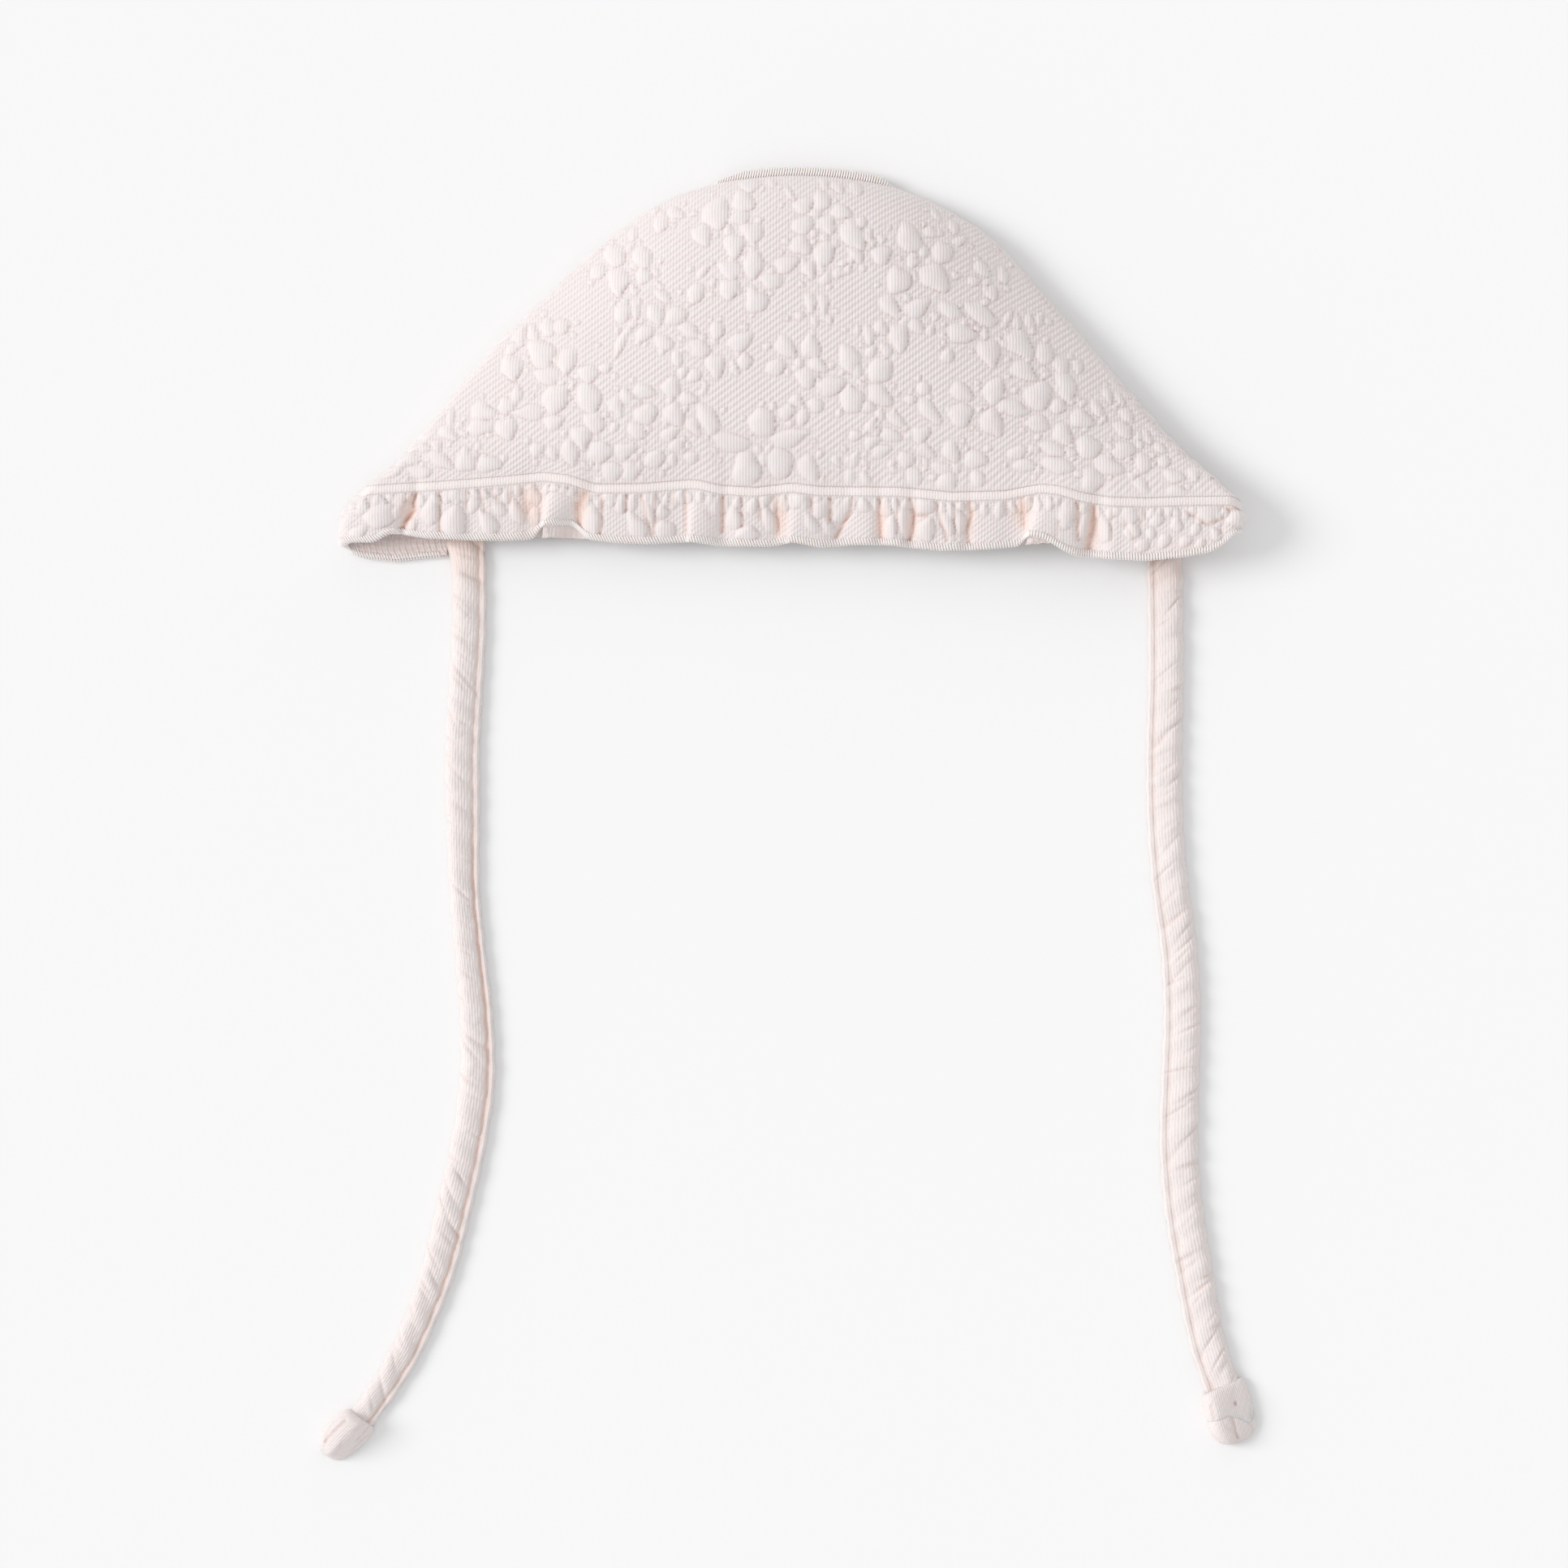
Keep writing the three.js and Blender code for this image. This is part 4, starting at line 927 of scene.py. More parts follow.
def tie(side):
    """One tie's piece, the line through its rings and its length, both in metres."""
    section, around = closed_curve(TIE_SECTION, TIE_POINTS)
    tangent = np.roll(section, -1, axis=0) - np.roll(section, 1, axis=0)
    tangent /= np.linalg.norm(tangent, axis=1, keepdims=True)
    outward = np.stack([tangent[:, 1], -tangent[:, 0]], axis=-1)
    line, heading, walked = even_route(TIE_ROUTES[side], TIE_STEP)
    length = walked[-1]
    along, round_it = np.meshgrid(walked, around, indexing="ij")
    puffs = tie_puffs(TIE_SEEDS[side], length)
    skewed = (round_it * 0.8 + along * 0.6, along * 0.8 - round_it * 0.6)

    def face(step_x, step_y):
        flat = [values.ravel() for values in (round_it + step_x, -along + step_y)]
        cloth = [values.ravel() for values in (skewed[0] + step_x, skewed[1] - step_y)]
        return knit_relief(*flat, *cloth, puffs)

    relief, crease_shade = hollows(face)
    relief = relief.reshape(along.shape) * TIE_RELIEF
    crease_shade = crease_shade.reshape(along.shape)
    pressed = creases_across(along, round_it, TIE_SEEDS[side] + 1, length)
    swell = TIE_SWELL * np.sin(along * 0.75 + round_it * 0.5 + 1.5 * np.sin(along / 11))
    flange = np.clip(1 - np.abs(section[:, 0] - TIE_FLANGE[0]) / TIE_FLANGE[1], 0, 1)
    strength = np.interp(walked / length, *zip(*TIE_GROOVES[side]))[:, None]
    from_groove = section[:, 0] - TIE_GROOVE_AT
    groove = bell(from_groove, 0.28 + 0.2 * strength) * (section[:, 1] > 1.0) * strength
    glow = TIE_GLOW[0] * bell(along - TIE_GLOW[1], TIE_GLOW[2]) + 0.5 * groove
    relief = (relief + swell) * (1 - 0.7 * flange) - pressed - 0.5 * groove * strength
    relief *= np.clip(section[:, 1] / 1.5, 0, 1)
    # Painted shade in the knit's hollows, in the groove and in the pressed creases
    crease_shade = np.clip(crease_shade * 0.4 + 0.3 * groove + pressed * 0.35, 0, 1)
    widths = np.interp(walked / length, *zip(*TIE_WIDTHS[side]))[:, None]
    across = section[:, 0] * widths + outward[:, 0] * relief
    if side == "left":
        flared = TIE_FLARE * (section[:, 0] < 0) * (1 - smoothstep(along, *TIE_FLARE_ENDS))
        across = across - flared * np.clip(-2 * section[:, 0] / TIE_WIDTH, 0, 1)
    height = np.maximum(section[:, 1] + outward[:, 1] * relief, 0.0)
    aside = np.stack([-heading[:, 1], heading[:, 0]], axis=-1)
    plan = line[:, None] + aside[:, None] * across[..., None] * TIE_MIRROR[side]
    loops = np.concatenate([plan, height[..., None]], axis=-1)
    cloth = np.stack([round_it, along], axis=-1)
    if TIE_MIRROR[side] < 0:
        loops = loops[:, ::-1]
        cloth = cloth[:, ::-1]
        crease_shade = crease_shade[:, ::-1]
        glow = glow[:, ::-1]
    points, triangles = loft(loops)
    cloth = with_ends(cloth.reshape(-1, 2))
    cloth[-1, 1] = length
    made = piece(f"tie_{side}_knit", points, triangles, tie_knit, cloth, crease_shade.ravel(), glow.ravel())
    level = np.full((len(line), 1), TIE_HEIGHT / 2)
    ring_centres = np.concatenate([line - np.array(MIDDLE), level], axis=1)
    return made, ring_centres * MM, length * MM


# Knots: a band of the tie wrapped round, on the right with the tie's end drawn out from under it.
# Shares of the knot's length and width, height in millimetres, and how deep the creases along it are
KNOT_ROWS = {
    "left": (
        (
            (0.00, 0.74, 4.6, 0.0), (0.03, 0.88, 5.9, 0.1), (0.12, 0.99, 7.1, 0.3), (0.28, 1.04, 7.7, 0.4),
            (0.50, 1.04, 7.7, 0.4), (0.68, 0.99, 7.3, 0.4), (0.81, 0.90, 6.7, 0.3), (0.905, 0.76, 5.8, 0.2),
            (0.97, 0.54, 4.4, 0.1), (1.0, 0.26, 3.0, 0.0),
        ),
    ),
    "right": (
        (
            (0.00, 0.84, 5.2, 0.0), (0.02, 0.94, 6.3, 0.0), (0.08, 1.00, 7.1, 0.1), (0.20, 1.03, 7.6, 0.2),
            (0.34, 1.04, 7.7, 0.2), (0.44, 1.04, 7.4, 0.1), (0.50, 0.98, 6.9, 0.0), (0.52, 0.84, 6.0, 0.0),
        ),
        (
            (0.36, 0.86, 5.6, 0.1), (0.46, 1.00, 6.7, 0.2), (0.60, 1.05, 6.9, 0.3), (0.74, 1.01, 6.5, 0.4),
            (0.86, 0.88, 5.8, 0.4), (0.94, 0.72, 4.9, 0.3), (0.985, 0.52, 4.0, 0.2), (1.0, 0.30, 3.0, 0.0),
        ),
    ),
}
# Section of each knot, as shares of its half width and of its height: the left one has a light
# upper face and a steep lower side, the right one slopes down away from its left edge
KNOT_SECTIONS = {
    "left": (
        (1.0, 0.06), (0.98, 0.16), (0.78, 0.4), (0.5, 0.72), (0.26, 0.97), (0.08, 1.05), (-0.24, 1.0),
        (-0.6, 0.9), (-0.86, 0.7), (-1.0, 0.42), (-0.97, 0.16), (-0.8, 0.0), (-0.3, 0.0), (0.3, 0.0),
        (0.85, 0.0),
    ),
    "right": (
        (1.0, 0.14), (0.97, 0.26), (0.84, 0.38), (0.56, 0.54), (0.2, 0.74), (-0.16, 0.93), (-0.46, 1.04),
        (-0.72, 1.0), (-0.92, 0.78), (-1.0, 0.45), (-0.95, 0.15), (-0.8, 0.0), (-0.3, 0.0), (0.3, 0.0),
        (0.85, 0.0),
    ),
}
# How many creases run along each part of a knot, spread round it
KNOT_LOBES = {"left": (5,), "right": (3, 5)}
# Folds pressed in along each knot: place across as a share of the half width, depth, half width
# and the shares of the knot's length that it runs between
KNOT_FOLDS = {
    "left": ((-0.52, 0.8, 0.08, 0.14, 0.84), (0.62, 0.5, 0.06, 0.0, 0.45)),
    "right": ((0.34, 2.2, 0.06, 0.27, 0.37), (0.02, 0.8, 0.09, 0.5, 0.97), (-0.7, 0.6, 0.06, 0.16, 0.5)),
}
# How much further the wrap hangs down on its right side, in millimetres
KNOT_DROOP = {"left": 0.0, "right": 4.2}
# How far the rings slant, how far the knot goes back over its tie, how much of the crown's relief
# it has, over what share of the length a fold comes in, and how much painted shade its two ends have
KNOT_SHEAR = 0.14
KNOT_CLEARANCE = -0.5
KNOT_RELIEF = 0.16
KNOT_FOLD_FADE = 0.07
KNOT_END_SHADE = 0.2
KNOT_SEEDS = (("left", 5), ("right", 7))
KNOT_POINTS = 72
KNOT_STEPS = 64


def knot_part(side, rows, lobes, seed):
    """One part of a knot: points, triangles, places on the cloth and how much painted shade each has."""
    knot = KNOTS[side]
    along = np.array(knot["heading"])
    along = along / np.linalg.norm(along)
    aside = np.array((-along[1], along[0]))
    table = catmull_rom(rows, np.linspace(0, 1, KNOT_STEPS))
    swing = np.arange(KNOT_POINTS) / KNOT_POINTS * 2 * math.pi
    reach = KNOT_CLEARANCE + table[:, 0] * knot["length"]
    drift = seed + 0.5 * np.sin(table[:, 0, None] * 4)
    fold_depth = 0.8 * table[:, 3, None] * bell(np.sin((swing - drift) * lobes / 2), 0.3)
    u = np.repeat(swing[None] * knot["width"] / 2, KNOT_STEPS, axis=0)
    v = np.repeat(reach[:, None], KNOT_POINTS, axis=1)

    def face(step_x, step_y):
        flat = ((u + step_x).ravel(), (v + step_y).ravel())
        return knit_relief(*flat, *flat, tie_puffs(seed, 4.0))

    relief, crease_shade = hollows(face)
    section, _ = closed_curve(KNOT_SECTIONS[side], KNOT_POINTS)
    for across, deep, half, start, stop in KNOT_FOLDS[side]:
        begun = smoothstep(table[:, 0], start, start + KNOT_FOLD_FADE)
        shown = begun * (1 - smoothstep(table[:, 0], stop - KNOT_FOLD_FADE, stop))
        pressed = deep * bell(section[:, 0] - across, half) * (section[:, 1] > 0.3)
        fold_depth = fold_depth + pressed * shown[:, None]
    relief = relief.reshape(u.shape) * KNOT_RELIEF - fold_depth * 0.7
    wide = section[:, 0] * (table[:, 1, None] * knot["width"] / 2 + relief)
    height = np.maximum(section[:, 1] * table[:, 2, None] + relief * (section[:, 1] > 0.3), 0.0)
    end = np.array(TIE_ROUTES[side][-1])
    sheared = reach[:, None] - KNOT_SHEAR * wide * (1 - table[:, 0, None])
    if rows[0][0] == 0:
        hanging = KNOT_DROOP[side] * smoothstep(wide, -1.0, 5.0)
        sheared = sheared + hanging * (table[:, 0, None] / rows[-1][0]) ** 3
    plan = end + along * sheared[..., None] + aside * wide[..., None]
    loops = np.concatenate([plan, height[..., None]], axis=-1)
    points, triangles = loft(loops)
    # Painted shade in the knit's hollows and in the folds pressed along the knot
    crease_shade = np.clip(crease_shade.reshape(u.shape) * 0.3 + fold_depth * 0.4, 0, 1)
    cloth = with_ends(np.stack([u, v], axis=-1).reshape(-1, 2))
    return points, triangles, cloth, np.concatenate([crease_shade.ravel(), [KNOT_END_SHADE] * 2])


def joined(parts):
    """Several shapes with their cloth places and painted shade as one."""
    points = np.concatenate([part[0] for part in parts])
    starts = np.cumsum([0] + [len(part[0]) for part in parts[:-1]])
    triangles = np.concatenate([part[1] + start for part, start in zip(parts, starts)])
    return [points, triangles] + [np.concatenate([part[place] for part in parts]) for place in (2, 3)]


def knot(side, seed):
    parts = [
        knot_part(side, rows, lobes, seed + place)
        for place, (rows, lobes) in enumerate(zip(KNOT_ROWS[side], KNOT_LOBES[side]))
    ]
    points, triangles, cloth, crease_shade = joined(parts)
    return piece(f"knot_{side}_knit", points, triangles, tie_knit, cloth, crease_shade)


for side, seed in KNOT_SEEDS:
    tie_piece, ring_centres, tie_length = tie(side)
    knot_piece = knot(side, seed)
    for made, node in ((tie_piece, f"tie_{side}"), (knot_piece, f"tie_knot_{side}")):
        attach(made, "root")
        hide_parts(node)


# The crown band: one closed shell, its upper face ribbed and padded. It is cut in one piece, with
# ends that narrow towards the back panel.
FOLD_COLUMNS = 14
UNDER_COLUMNS = 7
INNER_COLUMNS = 64
INNER_ROWS = 26
CROWN_FINE_STEPS = 2000
# The puffs are drawn this much larger than they were read off the photo. Near its two seams the
# crown dips a little and is painted with shade there, and its inside is painted with shade all over
PUFF_GROWTH = 1.1
CROWN_EDGE_DIP = 0.06
CROWN_EDGE_SHADE = 0.12
CROWN_INSIDE_SHADE = 0.3
CRUMB_SEED = 3
crown_puffs = [
    (x, y, length * PUFF_GROWTH, width * PUFF_GROWTH, turn, taper)
    for x, y, length, width, turn, taper in CROWN_PUFFS
]
crown_puffs += crumbs_round(CROWN_PUFFS, CRUMB_SEED)


def side_turns(start, stop):
    """Turns of the under layer and the side fold, from start to stop."""
    steps = (UNDER_COLUMNS, FOLD_COLUMNS) if abs(start) > abs(stop) else (FOLD_COLUMNS, UNDER_COLUMNS)
    middle = math.copysign(1.5, start)
    first = np.linspace(start, middle, steps[0] + 1)
    return np.concatenate([first, np.linspace(middle, stop, steps[1] + 1)[1:]])


def all_turns(upper):
    """Turns of the whole way round, with upper steps on the upper layer."""
    return np.concatenate([side_turns(-2, -1), np.linspace(-1, 1, upper + 1)[1:-1], side_turns(1, 2)])


def coarse_turns(upper, under=4, fold=6):
    """Turns of a cloth's inside, with that many steps on each layer and each side fold."""
    return np.concatenate([
        np.linspace(-2, -1.5, under + 1), np.linspace(-1.5, -1, fold + 1)[1:],
        np.linspace(-1, 1, upper + 1)[1:],
        np.linspace(1, 1.5, fold + 1)[1:], np.linspace(1.5, 2, under + 1)[1:],
    ])


def upper_ends(ring):
    """The x of both ends of a ring's upper layer."""
    return fold_ends(ring)[4]


def flat_under(turn):
    """1 on the upper layer, falling to 0 where the cloth is pressed flat on the surface."""
    return 1 - smoothstep(np.abs(turn), 1.2, 1.5)


def crown_band():
    """The crown's shell. The rows of its upper face lie on one grid of the cloth, so that the ribs
    run on from row to row."""
    fine = np.linspace(0, 1, CROWN_FINE_STEPS)
    ring = columns_of(crown_ring(fine))
    middle_y = plan_y(ring, 0.0, ring["bow"])
    depth = middle_y[-1] - middle_y[0]
    rows = np.append(np.arange(0, depth - 0.2, GRID_ALONG), depth)
    stations = np.interp(rows + middle_y[0], middle_y, fine)
    left_turns = side_turns(-2, -1)
    right_turns = side_turns(1, 2)
    turn_rows = []
    middle_keys = []
    for station in stations:
        ends = upper_ends(columns_of(crown_ring(station)))
        steps = np.arange(math.ceil(ends[0] / GRID_ACROSS + 0.3), math.floor(ends[1] / GRID_ACROSS - 0.3) + 1)
        inside = steps * GRID_ACROSS
        middle_keys.append(np.concatenate([[ends[0]], inside, [ends[1]]]))
        share = (inside - ends[0]) / (ends[1] - ends[0])
        turn_rows.append(np.concatenate([left_turns, 2 * share - 1, right_turns]))
    counts = [len(row) for row in turn_rows]
    starts = np.cumsum([0] + counts)
    outer_rows = [np.arange(start, start + count) for start, count in zip(starts, counts)]
    turn = np.concatenate(turn_rows)
    station = np.repeat(stations, counts)
    v = np.repeat(rows, counts)

    sides = len(left_turns)
    triangles = [
        grid_triangles(np.stack([row[:sides] for row in outer_rows])),
        grid_triangles(np.stack([row[-sides:] for row in outer_rows])),
    ]
    for low, high, low_keys, high_keys in zip(outer_rows, outer_rows[1:], middle_keys, middle_keys[1:]):
        triangles.append(zip_rows(low[sides - 1:1 - sides], high[sides - 1:1 - sides], low_keys, high_keys))

    ring = crown_ring(station)
    u = cloth_x(ring, turn)
    named_ring = columns_of(ring)
    ends = upper_ends(named_ring)
    edge = np.where(turn < 0, ends[0], ends[1])
    pattern_x = np.where(np.abs(turn) <= 1, u, 2 * edge - u)
    pattern_y = plan_y(named_ring, pattern_x, named_ring["bow"])

    def face(step_x, step_y):
        return knit_relief(
            pattern_x + step_x, pattern_y + step_y, u + step_x, v + step_y, crown_puffs)

    relief, crease_shade = hollows(face)
    from_edge = np.minimum(v, depth - v)
    settle = smoothstep(from_edge, 0.0, 1.6) * flat_under(turn)
    inset = -relief * settle + CROWN_EDGE_DIP * bell(from_edge, 0.5)
    # Painted shade in the knit's hollows and in a line along both seams
    crease_shade = np.clip(crease_shade * settle + CROWN_EDGE_SHADE * bell(from_edge, 0.45), 0, 1)
    outer = crown_point(turn, station, inset)

    inner_turns = coarse_turns(INNER_COLUMNS)
    inner_stations = np.linspace(0, 1, INNER_ROWS)
    grid_station, grid_turn = np.meshgrid(inner_stations, inner_turns, indexing="ij")
    inner = crown_point(grid_turn, grid_station, np.full(grid_turn.shape, WALL))
    inner_index = np.arange(grid_turn.size).reshape(grid_turn.shape) + len(outer)
    triangles.append(grid_triangles(inner_index)[:, ::-1])
    triangles.append(rims(
        outer_rows, [turn_rows[0], turn_rows[-1]], stations, inner_index, inner_turns, inner_stations))

    inner_cloth = np.stack([cloth_x(crown_ring(grid_station), grid_turn), grid_station * depth], axis=-1)
    cloth = np.concatenate([np.stack([u, v], axis=-1), inner_cloth.reshape(-1, 2)])
    points = np.concatenate([outer, inner.reshape(-1, 3)])
    # The inside is painted with shade all over
    crease_shade = np.concatenate([crease_shade, np.full(grid_turn.size, CROWN_INSIDE_SHADE)])
    return piece("crown_band_knit", points, np.concatenate(triangles), blister_knit, cloth, crease_shade)


crown_piece = crown_band()
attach(crown_piece, "root")
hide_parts("crown_band")

# The ruffle: a gathered strip of the same knit. Its pleats and padded parts are crowded together.
# RUFFLE_SPAN is how far the upper layer goes
RUFFLE_DEPTH = 17.0
RUFFLE_SPAN = 254
RUFFLE_ACROSS = 0.46
RUFFLE_ROWS = 46
RUFFLE_FINENESS = 1.25
RUFFLE_SWELL = 1.15
RUFFLE_RIB_DEPTH = 0.24
# Near the seam the ruffle dips a little, and is painted with shade along it
RUFFLE_EDGE_DIP = 0.08
RUFFLE_EDGE_SHADE = 0.1
# The creases' depths and widths are these shares of what their table says
CREASE_DEPTH = 0.65
CREASE_WIDTH = 1.4
# The inside of the cloth: how much painted shade it has, hidden and bare, and how much light comes through
INSIDE_ROWS = 30
INSIDE_UNDER_COLUMNS = 60
RUFFLE_INSIDE_SHADE = (0.06, 0.26)
INSIDE_GLOW = 0.12
TUCK_SEED = 31
UNDER_SEED = 32
# Padded puffs of the ruffle as seen from above, in the same columns as the crown's
RUFFLE_PUFFS = (
    (-116.4, -43.0, 9.0, 7.0, 20, .1), (-113.4, -37.4, 3.6, 2.4, 80, .2), (-110.4, -38.4, 4.6, 3.0, 70, .2),
    (-117.2, -37.8, 3.2, 2.4, 90, .2), (-111.8, -42.0, 4.4, 3.2, 60, .2), (-122.4, -47.6, 6.0, 3.6, 30, .2),
    (-121.6, -40.8, 4.4, 3.2, 60, .2), (-108.2, -45.6, 5.0, 3.4, 200, .2), (-102, -41.6, 8.6, 5.0, 75, .2),
    (-95.6, -44.6, 8.8, 7.4, 80, .12), (-95.4, -37.4, 5.0, 3.6, 10, .2), (-86, -45, 8.4, 4.6, 118, .3),
    (-83, -40.6, 6.0, 3.4, 120, .3), (-78, -41.5, 8.5, 3.4, 110, .3), (-90, -39.5, 6.0, 3.4, 80, .2),
    (-73, -37.2, 6.0, 3.6, 110, .2), (-72.8, -43, 5.4, 3.4, 80, .2), (-56.6, -43.8, 9.4, 5.6, 100, .35),
    (-51.6, -37.6, 4.4, 4.6, 90, .2), (-48.4, -39.8, 5.6, 3.4, 95, .2), (-44.2, -45.6, 9.0, 4.6, 120, .35),
    (-41, -41.2, 8.0, 3.2, 115, .3), (-36.8, -41.8, 4.4, 3.6, 90, .2), (-36, -47, 5.6, 6.0, 90, .2),
    (-31.6, -37.8, 4.4, 3.4, 90, .2), (-21.2, -40, 5.8, 4.0, 75, .25), (-16.6, -43.6, 7.0, 4.8, 100, .2),
    (-12.8, -48, 4.0, 6.6, 90, .1), (-6.6, -44, 8.4, 3.8, 112, .3), (-8, -38.2, 4.2, 3.4, 90, .2),
    (1.8, -38.6, 5.0, 5.0, 90, .2), (7.8, -41.2, 6.0, 4.6, 70, .2), (5.0, -45, 7.0, 3.2, 120, .3),
    (10.0, -46, 6.5, 3.0, 110, .3), (14.2, -41.8, 8.6, 5.4, 235, .45), (26.2, -41, 5.4, 3.6, 90, .2),
    (27.4, -46.6, 7.0, 4.2, 80, .2), (31.8, -44.6, 10.0, 4.2, 100, .2), (37, -40.6, 4.8, 6.2, 90, .1),
    (37.6, -46.8, 6.8, 5.6, 70, .3), (43.2, -44.6, 8.4, 3.4, 118, .3), (47.2, -44.8, 7.0, 3.4, 100, .2),
    (77, -43.6, 8.6, 4.6, 260, .4), (82.4, -45.8, 8.4, 3.8, 80, .2), (87.6, -46.6, 9.0, 3.8, 100, .2),
    (94.6, -42.6, 6.4, 4.6, 120, .25), (91, -41.4, 4.6, 3.6, 60, .2), (95.6, -47.6, 4.6, 4.8, 10, .2),
    (98.5, -51.5, 4.4, 3.6, 20, .2), (116.4, -42.6, 7.0, 5.4, 150, .2), (119, -48.4, 4.4, 3.0, 120, .2),
    (126, -43.6, 7.6, 5.6, 20, .3), (66, -39.6, 6.0, 3.0, 80, .2), (102.4, -44, 5.0, 3.8, 80, .2),
    (104.6, -50.2, 4.6, 3.4, 60, .2), (108, -45.6, 4.8, 3.2, 100, .2), (110.6, -50.4, 4.2, 3.2, 30, .2),
    (113.4, -47, 3.8, 3.0, 70, .2), (100.8, -48.2, 3.6, 2.8, 90, .2), (106, -41.2, 4.0, 3.0, 90, .2),
    (114.8, -51, 3.6, 2.6, 50, .2), (112.6, -41.6, 3.6, 2.8, 60, .2),
)
# Creases of the ruffle: from (x, y) to (x, y), how deep, and half the width
RUFFLE_CREASES = (
    (-106, -36.4, -107, -39, 1.4, 0.45), (-107, -39, -106.6, -41.4, 1.5, 0.45),
    (-106.6, -41.4, -109, -44.4, 1.5, 0.5), (-109, -44.4, -110.4, -47.4, 1.4, 0.55),
    (-99.2, -36.4, -99.4, -49, 0.7, 0.45),
    (-92, -36, -91.6, -41, 0.6, 0.4), (-88, -36, -86.6, -42, 0.6, 0.4), (-84.4, -35.6, -83, -40, 0.5, 0.4),
    (-80, -35.4, -79.4, -40, 0.6, 0.4), (-76.4, -36, -74.6, -42, 0.5, 0.45), (-74.6, -42, -73, -45, 0.5, 0.4),
    (-60, -34, -57.6, -36.4, 1.2, 0.55), (-57.6, -36.4, -59.6, -40, 1.3, 0.6),
    (-60.6, -40, -60.2, -47.6, 1.3, 0.6), (-54, -37, -53.4, -42, 1.0, 0.45),
    (-53.4, -42, -54.6, -49, 0.8, 0.45), (-46.6, -37.4, -47, -42, 0.9, 0.4),
    (-42.6, -37, -39.6, -49, 0.8, 0.4), (-38.4, -37, -38.8, -48, 0.6, 0.4),
    (-33.6, -37, -33.6, -40, 0.6, 0.4),
    (-30, -36, -29.8, -48, 0.7, 0.5), (-24, -42, -23, -44, 0.4, 0.4), (-19.4, -36.6, -19.8, -47.4, 1.3, 0.55),
    (-14.4, -37.4, -14.2, -46, 0.8, 0.4), (-9.4, -37, -9, -44, 0.6, 0.4), (-5, -37, -3.8, -48, 0.7, 0.5),
    (5.4, -37.6, 5.6, -42, 0.8, 0.4), (10.6, -38.6, 10.6, -45, 1.0, 0.45), (17, -38, 16.4, -42, 0.9, 0.4),
    (16.4, -42, 12.4, -49, 1.2, 0.5), (24.4, -37.6, 24.6, -43, 0.9, 0.45), (24.6, -43, 25.2, -50, 0.9, 0.5),
    (29.8, -39, 29.4, -48, 0.5, 0.35), (33.2, -38, 34.4, -43, 1.2, 0.5), (34.4, -43, 33, -50, 1.2, 0.5),
    (34.4, -43, 38, -43.4, 0.7, 0.4), (40.6, -38.6, 41, -42, 0.6, 0.4), (41, -42, 43.6, -50, 0.8, 0.4),
    (45.4, -39, 46, -50, 0.6, 0.35), (49.6, -38.6, 50.6, -43, 1.0, 0.45), (50.6, -43, 49, -47, 1.0, 0.45),
    (49, -47, 50, -51.4, 0.9, 0.45), (60, -39, 60.4, -43, 0.5, 0.4), (64.4, -38.6, 65.4, -46, 0.6, 0.5),
    (75, -45, 74, -49, 0.5, 0.45), (80, -39, 80.4, -50, 1.1, 0.45), (84.8, -38.6, 84.8, -44, 1.4, 0.6),
    (84.8, -44, 83.4, -52.4, 1.4, 0.75), (90, -39, 89.6, -50, 0.6, 0.4), (92.6, -44, 96, -49.6, 0.5, 0.35),
    (98.6, -39.6, 98, -46, 0.5, 0.4), (110.6, -42, 117, -45.8, 0.7, 0.4), (117, -45.8, 120, -44.6, 0.8, 0.4),
    (120, -40, 123, -41.8, 0.8, 0.4), (123, -41.8, 128, -41, 0.7, 0.4), (121.6, -43, 120.4, -48.6, 0.6, 0.4),
)
# Places where the thin cloth stands up and light comes through it warm: (x, y), half sizes, share
RUFFLE_GLOWS = (
    (-73.6, -39.5, 3.6, 6.0, 0.34), (-3.4, -44.0, 2.0, 5.0, 0.36), (25.0, -45.0, 1.6, 5.5, 0.3),
    (33.5, -46.0, 2.0, 4.0, 0.22), (50.0, -44.5, 1.8, 6.0, 0.2), (64.6, -42.0, 2.6, 5.0, 0.34),
    (-108.5, -41.0, 2.2, 5.0, 0.3), (108.0, -52.5, 10.0, 2.0, 0.12), (85.0, -47.0, 2.0, 6.0, 0.2),
    (-59.6, -40.0, 2.0, 6.0, 0.3),
)
# Where the inside shows under a raised fold: the line that its edge keeps to, as (x, y). The
# inside's first rows all lie at the hem and fall to that line by these shares
INSIDE_HEM_LINES = (((-75.0, -49.3), (-57.0, -49.6)), ((63.0, -51.6), (73.0, -51.0)))
INSIDE_FALLS = (0.0, 0.25, 0.5, 0.75, 1.0)


def seam_tucks(seed):
    """Small gathers where the ruffle is sewn in, as short upright puffs in a row."""
    dice = np.random.default_rng(seed)
    rows = []
    place = -150.0
    while place < 150.0:
        start = float(line_height(place, SEAM_LINE)) - 2.6
        length = dice.uniform(2.6, 5.4)
        rows.append((place, start - length / 2, length, dice.uniform(1.9, 3.2), dice.uniform(65, 115), 0.2))
        place += dice.uniform(2.0, 4.4)
    return rows


def under_puffs(seed):
    """Puffs of the ruffle where it goes on round the folds and along the under layer."""
    dice = np.random.default_rng(seed)
    rows = []
    for out in (-1, 1):
        place = 130.0
        while place < 190.0:
            y = -dice.uniform(40, 50)
            length = dice.uniform(4, 7)
            width = dice.uniform(3, 4.4)
            rows.append((out * place, y, length, width, dice.uniform(60, 120), 0.3))
            place += dice.uniform(3.0, 5.5)
    return rows


